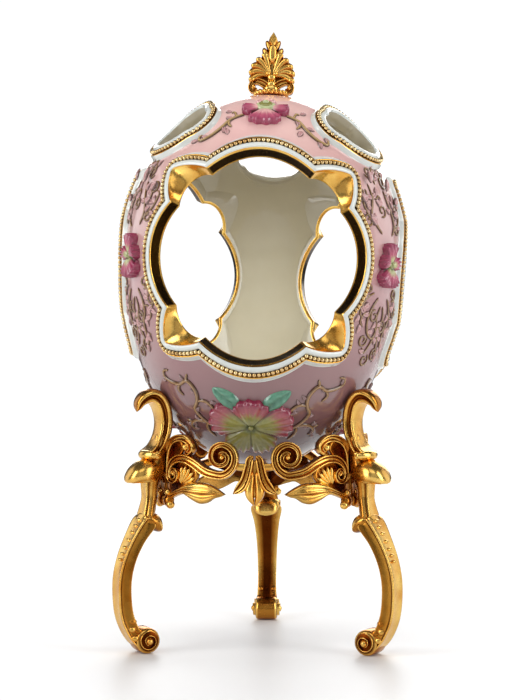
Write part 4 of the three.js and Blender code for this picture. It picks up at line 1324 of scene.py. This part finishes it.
# %% Fan and lily
FAN_ROOT = (28.4, 57.6)
FAN_RIBS, FAN_START, FAN_STEP = 7, 78, 15  # how many, the first one's angle and the next ones' steps
PETAL_LINE = [((0.4, 68.3), 0.7, 1.0), ((1.5, 67.2), 1.2, 1.5), ((2.0, 64.6), 1.3, 1.8),
              ((3.0, 60.6), 1.5, 1.9), ((4.6, 57.8), 1.6, 1.8), ((7.4, 55.6), 0.35, 0.7)]
INNER_PETAL_LINE = [((0.6, 63.6), 0.5, 1.2), ((0.95, 60.4), 0.95, 1.7), ((1.65, 57.2), 1.6, 2.0),
                    ((1.5, 55.0), 1.4, 1.8), ((0.7, 53.0), 0.7, 1.1), ((0.15, 51.9), 0.2, 0.4)]
LILY_BACK_LINE = [((0.0, 67.0), 1.5, 0.8), ((0.0, 60.0), 2.4, 0.8), ((0.0, 54.4), 1.8, 0.7)]
TIE_LINE = [((0.0, 64.4), 1.4, 0.6), ((4.5, 64.6), 1.3, 0.6), ((8.0, 65.0), 1.1, 0.6)]


def set_back(place, depth):
    """The same place, moved in by a depth."""
    return lambda points: place(points - (0, depth, 0))


def fan_ribs(heap, place):
    """Little ribs that open like a fan between the long scroll and the leaf."""
    for i in range(FAN_RIBS):
        a = math.radians(FAN_START + FAN_STEP * i)
        reach = 6.6 + 1.5 * math.sin(math.pi * i / (FAN_RIBS - 1))
        line = [((FAN_ROOT[0] + reach * f * math.cos(a), FAN_ROOT[1] + reach * 0.92 * f * math.sin(a)),
                 band, 0.9) for f, band in ((0.1, 0.35), (0.5, 0.62), (0.8, 0.72), (1.0, 0.4))]
        strap(heap, line, ROUND_BAR, set_back(place, 0.3), fine=3)


def lily(heap, place):
    """One half of the lily: a long petal that flares to the side and half of the grooved middle one."""
    strap(heap, PETAL_LINE, CHANNEL, place)
    strap(heap, INNER_PETAL_LINE, ROUND_BAR, place)
    strap(heap, LILY_BACK_LINE, ROUND_BAR, set_back(place, 0.8))


# %% Build the galleries
UPPER_FIELD = [(37.2, 58.0), (37.2, 66.0), (36.0, 70.6), (33.0, 73.0), (29.0, 73.4), (27.0, 71.0),
               (28.6, 68.4), (31.4, 66.4), (33.8, 62.4)]
LOWER_FIELD = [(37.2, 53.0), (37.2, 62.0), (34.0, 65.0), (30.0, 66.4), (26.0, 66.2), (22.4, 64.6),
               (20.8, 61.4), (23.4, 58.2), (29.0, 56.6), (33.0, 53.6)]
UPPER_SCROLL_BANDS = (1.0, 1.2, 1.3, 1.3, 1.25, 1.2, 1.05, 0.85, 0.7, 0.5)
# Bosses in the eyes of the scrolls and buds by the leg: the middle, the half axes and the tint. The
# last of the volutes' is a thin plate behind the big one, tinted dark as painted shade, and has more
# sides.
VOLUTE_BOSSES = [((VOLUTE[0], 0.3, VOLUTE[1]), (0.95, 1.6, 0.95), BRIGHT),
                 ((LITTLE_VOLUTE[0], 0.3, LITTLE_VOLUTE[1]), (0.7, 1.4, 0.7), BRIGHT),
                 ((VOLUTE[0] + 0.2, -0.9, VOLUTE[1]), (4.3, 0.7, 4.3), HOLLOW_BLOOM_AND_SHADE, 24, 6)]
UPPER_BOSS = ((25.4, 0.5, 70.9), (1.25, 1.4, 1.25), BRIGHT)
LEG_BUDS = [((36.0, 0.1, 52.2), (2.4, 1.9, 2.3), HALF_SHADE), ((34.2, 0.4, 50.9), (1.6, 1.5, 1.5), BRIGHT),
            ((35.2, 0.9, 55.2), (1.3, 1.2, 1.2), BRIGHT)]


def half_gallery(heap, place):
    dish(heap, place, UPPER_FIELD, (33.4, 67.6), 0.5, -0.5, -1.5)
    dish(heap, place, LOWER_FIELD, (30.0, 61.0), -0.3, -0.8, -1.5)
    scroll_band(heap, place, BIG_ROLL + SWEEP + LITTLE_ROLL, SWEEP_BANDS)
    for boss in VOLUTE_BOSSES:
        knob(heap, place, *boss)
    scroll_band(heap, place, UPPER_SCROLL, UPPER_SCROLL_BANDS, 1.6)
    knob(heap, place, *UPPER_BOSS)
    drooping_leaf(heap, place)
    fan_ribs(heap, place)
    for bud in LEG_BUDS:
        knob(heap, place, *bud)
    lily(heap, place)
    strap(heap, TIE_LINE, ROUND_BAR, set_back(place, 0.7))


def build_gallery(name, azimuth):
    heap = Heap()
    for side in (1, -1):
        half_gallery(heap, bent(side, azimuth))
    piece = heap.build(f"cast_{name}", [GOLD])
    return finish_mesh(piece, name)


for name, azimuth in (("gallery_front", 0), ("gallery_back_right", 120), ("gallery_back_left", 240)):
    build_gallery(name, azimuth)

# %% [markdown]
# ## Finial
#
# A palmette stands on a roped ring at the top: fluted leaves that fan out from two little rosettes
# and curl over at their tips, with a bud above and a small volute at each side of the foot. It is
# drawn flat, like the galleries, and needs only the same straps, dish and knobs.

# %% Sections and lines of the palmette
FINIAL_FOOT = EGG_TOP - 0.3
FAN_HEART = 7.4


def finial_place(points):
    """The palmette is drawn flat: x to the right, z up, y towards its back."""
    return points * (1, -1, 1) + (0, 0, FINIAL_FOOT)


def front_and_back(front):
    """A closed section from its front half, mirrored to the back."""
    return front + [(n, -y, tint) for n, y, tint in front[1:-1][::-1]]


FLUTE = front_and_back([(-1.0, -0.2, HOLLOW_BLOOM_AND_SHADE), (-0.95, 0.6, BRIGHT), (-0.76, 0.86, BRIGHT),
                        (-0.52, 0.52, HALF_SHADE), (-0.22, 0.30, HOLLOW_BLOOM_AND_SHADE), (0.0, 0.50, BRIGHT),
                        (0.22, 0.30, HOLLOW_BLOOM_AND_SHADE), (0.52, 0.52, HALF_SHADE), (0.76, 0.86, BRIGHT),
                        (0.95, 0.6, BRIGHT), (1.0, -0.2, HOLLOW_BLOOM_AND_SHADE)])
RIB = front_and_back([(-1.0, -0.1, HOLLOW_BLOOM_AND_SHADE), (-0.9, 0.4, HOLLOW_BLOOM_AND_SHADE), (-0.62, 0.78, HALF_SHADE),
                      (-0.2, 0.98, BRIGHT), (0.2, 0.98, BRIGHT), (0.62, 0.78, HALF_SHADE), (0.9, 0.4, HOLLOW_BLOOM_AND_SHADE),
                      (1.0, -0.1, HOLLOW_BLOOM_AND_SHADE)])
# The fan's leaves: where each tip lies, and half its band.
FAN = [(7.4, 6.6, 1.5), (7.5, 9.2, 1.55), (6.7, 11.7, 1.5), (5.0, 13.9, 1.4), (2.9, 15.6, 1.3)]
# Along a leaf: the share of its length, the share of its band, and half its depth.
REACH = [(0.08, 0.30, 1.1), (0.35, 0.62, 1.5), (0.65, 0.95, 1.75), (0.86, 1.05, 2.0), (0.96, 0.98, 1.9),
         (1.01, 0.7, 1.4)]
# Two pairs of small leaves clasp the bud, and a little volute grows from the foot at each side.
# Entries are x, z, half the band and half the depth.
SMALL_LEAVES = [[(0.3, 13.6, 0.9, 1.6), (1.9, 15.2, 1.2, 1.9), (3.0, 17.0, 1.0, 1.7), (3.4, 18.2, 0.3, 0.7)],
                [(0.2, 16.2, 0.8, 1.7), (1.3, 18.0, 1.0, 1.9), (2.1, 19.8, 0.8, 1.5), (2.5, 20.8, 0.25, 0.6)]]
FOOT_VOLUTE = [(1.0, 3.6, 1.2, 1.2), (2.8, 5.0, 1.3, 1.3), (5.0, 5.8, 1.1, 1.4), (6.8, 5.2, 0.9, 1.5),
               (7.5, 3.6, 0.85, 1.6), (6.8, 2.3, 0.8, 1.6), (5.6, 2.6, 0.65, 1.4), (5.5, 3.7, 0.5, 1.3)]
STEM = [(0, 2.2, 2.3, 1.3), (0, 4.4, 1.5, 1.3), (0, 7.0, 1.3, 1.3), (0, 12.0, 1.1, 1.3), (0, 15.4, 1.3, 1.4)]
BUD_CUP = [(0, 12.0, 1.2, 1.4), (0, 15.2, 1.9, 2.0), (0, 17.6, 1.8, 2.1), (0, 19.6, 0.5, 1.9)]
BACKING = [(0.0, 3.0), (3.0, 4.6), (6.2, 6.0), (6.6, 8.0), (6.2, 10.4), (5.2, 12.4), (3.8, 14.4), (2.2, 16.4),
           (0.0, 17.4)]
BACKING += [(-x, z) for x, z in BACKING[-2:0:-1]]
ROSETTES = [(0, 2.9, 2.5), (0, 4.9, 1.5), (0, 7.3, 1.5), (-1.3, 8.6, 0.9), (1.3, 8.6, 0.9)]  # x, z, radius


# %% Fan of leaves
def upright(side, line):
    return [((side * x, z), band, depth) for x, z, band, depth in line]


def fan_leaf(heap, side, x, z, band):
    """One leaf from the fan's heart: it rises, droops at its tip and ends in a little knob on each face."""
    dx, dz = x, z - FAN_HEART
    droop = 1.1 * dx / 7
    line = [(dx * f ** 0.9, FAN_HEART + dz * f + droop * (math.sin(math.pi * f) - 0.4 * f ** 4),
             band * share, w) for f, share, w in REACH]
    strap(heap, upright(side, line), RIB, finial_place)
    for y in (-1, 1):
        tip = (side * dx * 0.96, 1.15 * y, FAN_HEART + dz * 0.97 - 0.2)
        knob(heap, finial_place, tip, (1.2, 1.0, 1.0), BRIGHT)


def palmette_side(heap, side):
    for x, z, band in FAN:
        fan_leaf(heap, side, x, z, band)
    strap(heap, upright(side, FOOT_VOLUTE), CHANNEL, finial_place, fine=5)
    knob(heap, finial_place, (side * 6.4, 0.0, 3.8), (0.9, 1.5, 0.9), BRIGHT)
    for line in SMALL_LEAVES:
        strap(heap, upright(side, line), RIB, finial_place)


palmette = Heap()
palmette_side(palmette, -1)
palmette_side(palmette, 1)
dish(palmette, finial_place, BACKING, (0, 9.5), 0.6, 0.3, -0.6)
strap(palmette, upright(1, STEM), FLUTE, finial_place)
strap(palmette, upright(1, BUD_CUP), RIB, finial_place)
for x, z, r in ROSETTES:
    for y in (-1, 1):
        knob(palmette, finial_place, (x, 1.1 * y, z), (r, 1.1, r * 0.85), BRIGHT)
print("points of the palmette:", palmette.count)

# %% [markdown]
# ## Bud and roped ring
#
# The bud at the very top is cut like a stone, so it is the one part of the castings with flat
# shading: its faces get a material slot of their own, by which they are found again. The rope
# round the ring's edge is a row of slanted, overlapping beads, which one loop makes.

# %% Stone bud
BUD_TIP, BUD_SHOULDER, BUD_WAIST, BUD_FOOT = 23.9, 21.6, 18.9, 16.0


def stone_bud(heap):
    """A kite-shaped facet on each of the four sides, over four leaning ones."""
    quarter = np.radians(np.arange(4) * 90)
    shoulders = [(1.75 * math.cos(q + math.pi / 4), 1.6 * math.sin(q + math.pi / 4), BUD_SHOULDER)
                 for q in quarter]
    waist = [(2.2 * math.cos(q), 2.0 * math.sin(q), BUD_WAIST) for q in quarter]
    points = np.array(shoulders + waist + [(0, 0, BUD_TIP), (0, 0, BUD_FOOT)])
    faces = []
    for i in range(4):
        after = (i + 1) % 4
        faces += [(8, i, 4 + after, after), (i, 4 + i, 4 + after), (9, 4 + after, 4 + i)]
    heap.add(finial_place(points), faces, (*BRIGHT, 1), pick=1)


stone_bud(palmette)

# %% Roped ring
RING_AROUND = 64
RING_SECTION = [(0.2, 0.5), (5.0, 0.5), (5.7, 0.7), (5.9, 1.4), (5.4, 2.1), (4.2, 2.5), (0.2, 2.6)]
ROPE_STRANDS, ROPE_RADIUS, ROPE_LEVEL, ROPE_SLANT = 20, 5.7, 1.45, 0.75


def ring_below(heap):
    a = np.linspace(0, 2 * math.pi, RING_AROUND, endpoint=False)
    rings = [np.stack([r * np.cos(a), r * np.sin(a), np.full_like(a, z)], axis=-1) for r, z in RING_SECTION]
    faces = grid_faces(len(rings), RING_AROUND, around=True)
    heap.add(finial_place(np.stack(rings)), faces, (*HALF_SHADE, 1))


def strand_place(b):
    """From a strand's own axes (along it, outwards, up) to its place on the ring."""
    at = np.array([ROPE_RADIUS * math.cos(b), ROPE_RADIUS * math.sin(b), ROPE_LEVEL])
    along = np.array([-math.sin(b), math.cos(b), ROPE_SLANT])
    along /= np.linalg.norm(along)
    out = np.array([math.cos(b), math.sin(b), 0])
    axes = np.array([along, out, np.cross(out, along)])
    return lambda points: finial_place(at + points @ axes)


ring_below(palmette)
for i in range(ROPE_STRANDS):
    knob(palmette, strand_place(2 * math.pi * i / ROPE_STRANDS), (0, 0, 0), (1.35, 0.75, 0.72), BRIGHT, 10, 7)
crown = palmette.build("palmette_finial", [GOLD, GOLD])
settle(crown)
finish_mesh(crown, "finial")
for face in crown.data.polygons:
    face.use_smooth = face.material_index == 0  # the stone keeps its flat facets

# %% [markdown]
# ## Floor
#
# The egg stands on a pale round table. Where it ends, a hard edge would show, so towards its rim
# the table glows as brightly as the room behind it, but only as the camera sees it: what the gold
# mirrors stays a plain pale floor.

# %% Table
FLOOR_RADIUS, FLOOR_SIDES = 1.1, 96
GLOW_FROM, GLOW_TO = 0.07, 0.30  # metres from the middle, where the glow starts and where it is full
BACKDROP = 1.15  # brightness of the room behind the egg


def floor_finish():
    finish = Finish("pale_floor")
    nodes, links = finish.nodes, finish.links
    finish.wire(finish.ramp(finish.noise(3, 3), [(0.3, 0.80), (0.7, 0.84)]), "Base Color")
    finish.set(Roughness=0.45)
    reach, fade = nodes.new("ShaderNodeVectorMath"), nodes.new("ShaderNodeMapRange")
    reach.operation = "LENGTH"
    fade.interpolation_type = "SMOOTHSTEP"
    fade.inputs["From Min"].default_value = GLOW_FROM
    fade.inputs["From Max"].default_value = GLOW_TO
    seen, share = nodes.new("ShaderNodeLightPath"), nodes.new("ShaderNodeMath")
    share.operation = "MULTIPLY"
    glow, both = nodes.new("ShaderNodeEmission"), nodes.new("ShaderNodeMixShader")
    glow.inputs["Strength"].default_value = BACKDROP
    links.new(finish.place, reach.inputs[0])
    links.new(reach.outputs["Value"], fade.inputs["Value"])
    links.new(fade.outputs["Result"], share.inputs[0])
    links.new(seen.outputs["Is Camera Ray"], share.inputs[1])
    links.new(share.outputs["Value"], both.inputs["Fac"])
    links.new(finish.shader.outputs["BSDF"], both.inputs[1])
    links.new(glow.outputs["Emission"], both.inputs[2])
    links.new(both.outputs["Shader"], nodes["Material Output"].inputs["Surface"])
    return finish.material


def make_floor():
    turns = [2 * math.pi * i / FLOOR_SIDES for i in range(FLOOR_SIDES)]
    mesh = bpy.data.meshes.new("floor")
    mesh.from_pydata([(FLOOR_RADIUS * math.cos(a), FLOOR_RADIUS * math.sin(a), 0.0) for a in turns], [],
                     [tuple(range(FLOOR_SIDES))])
    mesh.materials.append(floor_finish())
    floor = bpy.data.objects.new("floor", mesh)
    bpy.context.scene.collection.objects.link(floor)


make_floor()
print("table, m:", 2 * FLOOR_RADIUS)

# %% [markdown]
# ## Light
#
# Polished gold shows what is round it, so the room is made of a few broad panels with darker gaps
# between them: bright ones at both sides draw long highlights down the castings, and weaker ones
# behind light their backs. The world is dim for everything but the camera.

# %% Panels and room
AIM = (0, 0, 0.12)
# Name, place and size in metres, power, and whether gold and glaze mirror the panel.
PANELS = [("left", (-0.75, -0.45, 0.42), (0.45, 0.8), 4.9, True),
          ("right", (0.75, -0.35, 0.38), (0.35, 0.8), 3.7, True),
          ("above", (0.0, 0.1, 0.95), (0.6, 0.5), 3.8, False),
          ("behind", (0.1, 0.9, 0.5), (1.0, 0.6), 6, True),
          ("front", (0.1, -1.2, 0.45), (1.2, 0.7), 1.0, True),
          ("high", (0.0, -0.75, 0.95), (0.8, 0.45), 1.7, True),
          ("back_left", (-0.95, 0.5, 0.35), (0.6, 0.8), 1.5, True),
          ("back_right", (0.95, 0.5, 0.35), (0.6, 0.8), 1.5, True)]
ROOM_COLOUR, ROOM_LIGHT = (0.9, 0.92, 0.95, 1), 0.10


def panel(name, place, size, power, mirrored_by_gold):
    light = bpy.data.lights.new(f"soft_box_{name}", "AREA")
    light.shape, light.size, light.size_y, light.energy = "RECTANGLE", size[0], size[1], power
    lamp = bpy.data.objects.new(f"soft_box_{name}", light)
    lamp.location = place
    lamp.visible_glossy = mirrored_by_gold
    lamp.rotation_euler = Vector([a - p for a, p in zip(AIM, place)]).to_track_quat("-Z", "Y").to_euler()
    bpy.context.scene.collection.objects.link(lamp)


def make_room():
    world = bpy.data.worlds.new("studio")
    bpy.context.scene.world = world
    world.use_nodes = True
    nodes, links = world.node_tree.nodes, world.node_tree.links
    nodes["Background"].inputs["Color"].default_value = ROOM_COLOUR
    path, level = nodes.new("ShaderNodeLightPath"), nodes.new("ShaderNodeMapRange")
    level.inputs["To Min"].default_value = ROOM_LIGHT
    level.inputs["To Max"].default_value = BACKDROP
    links.new(path.outputs["Is Camera Ray"], level.inputs["Value"])
    links.new(level.outputs["Result"], nodes["Background"].inputs["Strength"])


for row in PANELS:
    panel(*row)
make_room()
bpy.context.scene.view_settings.view_transform = "Standard"
print("panels:", len(PANELS))

# %% [markdown]
# ## Camera
#
# The camera stands close, a little below the egg's widest plane, and looks level. Tilting it up
# would make the legs lean together, so the lens's shift moves the view up instead.

# %% Camera
CAMERA_DISTANCE, CAMERA_HEIGHT, CAMERA_TURN = 0.4853, 0.092, math.radians(3)
LENS, SENSOR = 69.4, 36
SHIFT_SIDE, SHIFT_UP = 0.0029, 0.05
camera_data = bpy.data.cameras.new("camera")
camera_data.lens, camera_data.sensor_width = LENS, SENSOR
camera_data.clip_start = 0.01
camera_data.shift_x, camera_data.shift_y = SHIFT_SIDE, SHIFT_UP
camera = bpy.data.objects.new("camera", camera_data)
camera.location = (CAMERA_DISTANCE * math.sin(CAMERA_TURN), -CAMERA_DISTANCE * math.cos(CAMERA_TURN),
                   CAMERA_HEIGHT)
camera.rotation_euler = (math.pi / 2, 0, CAMERA_TURN)
bpy.context.scene.collection.objects.link(camera)
bpy.context.scene.camera = camera
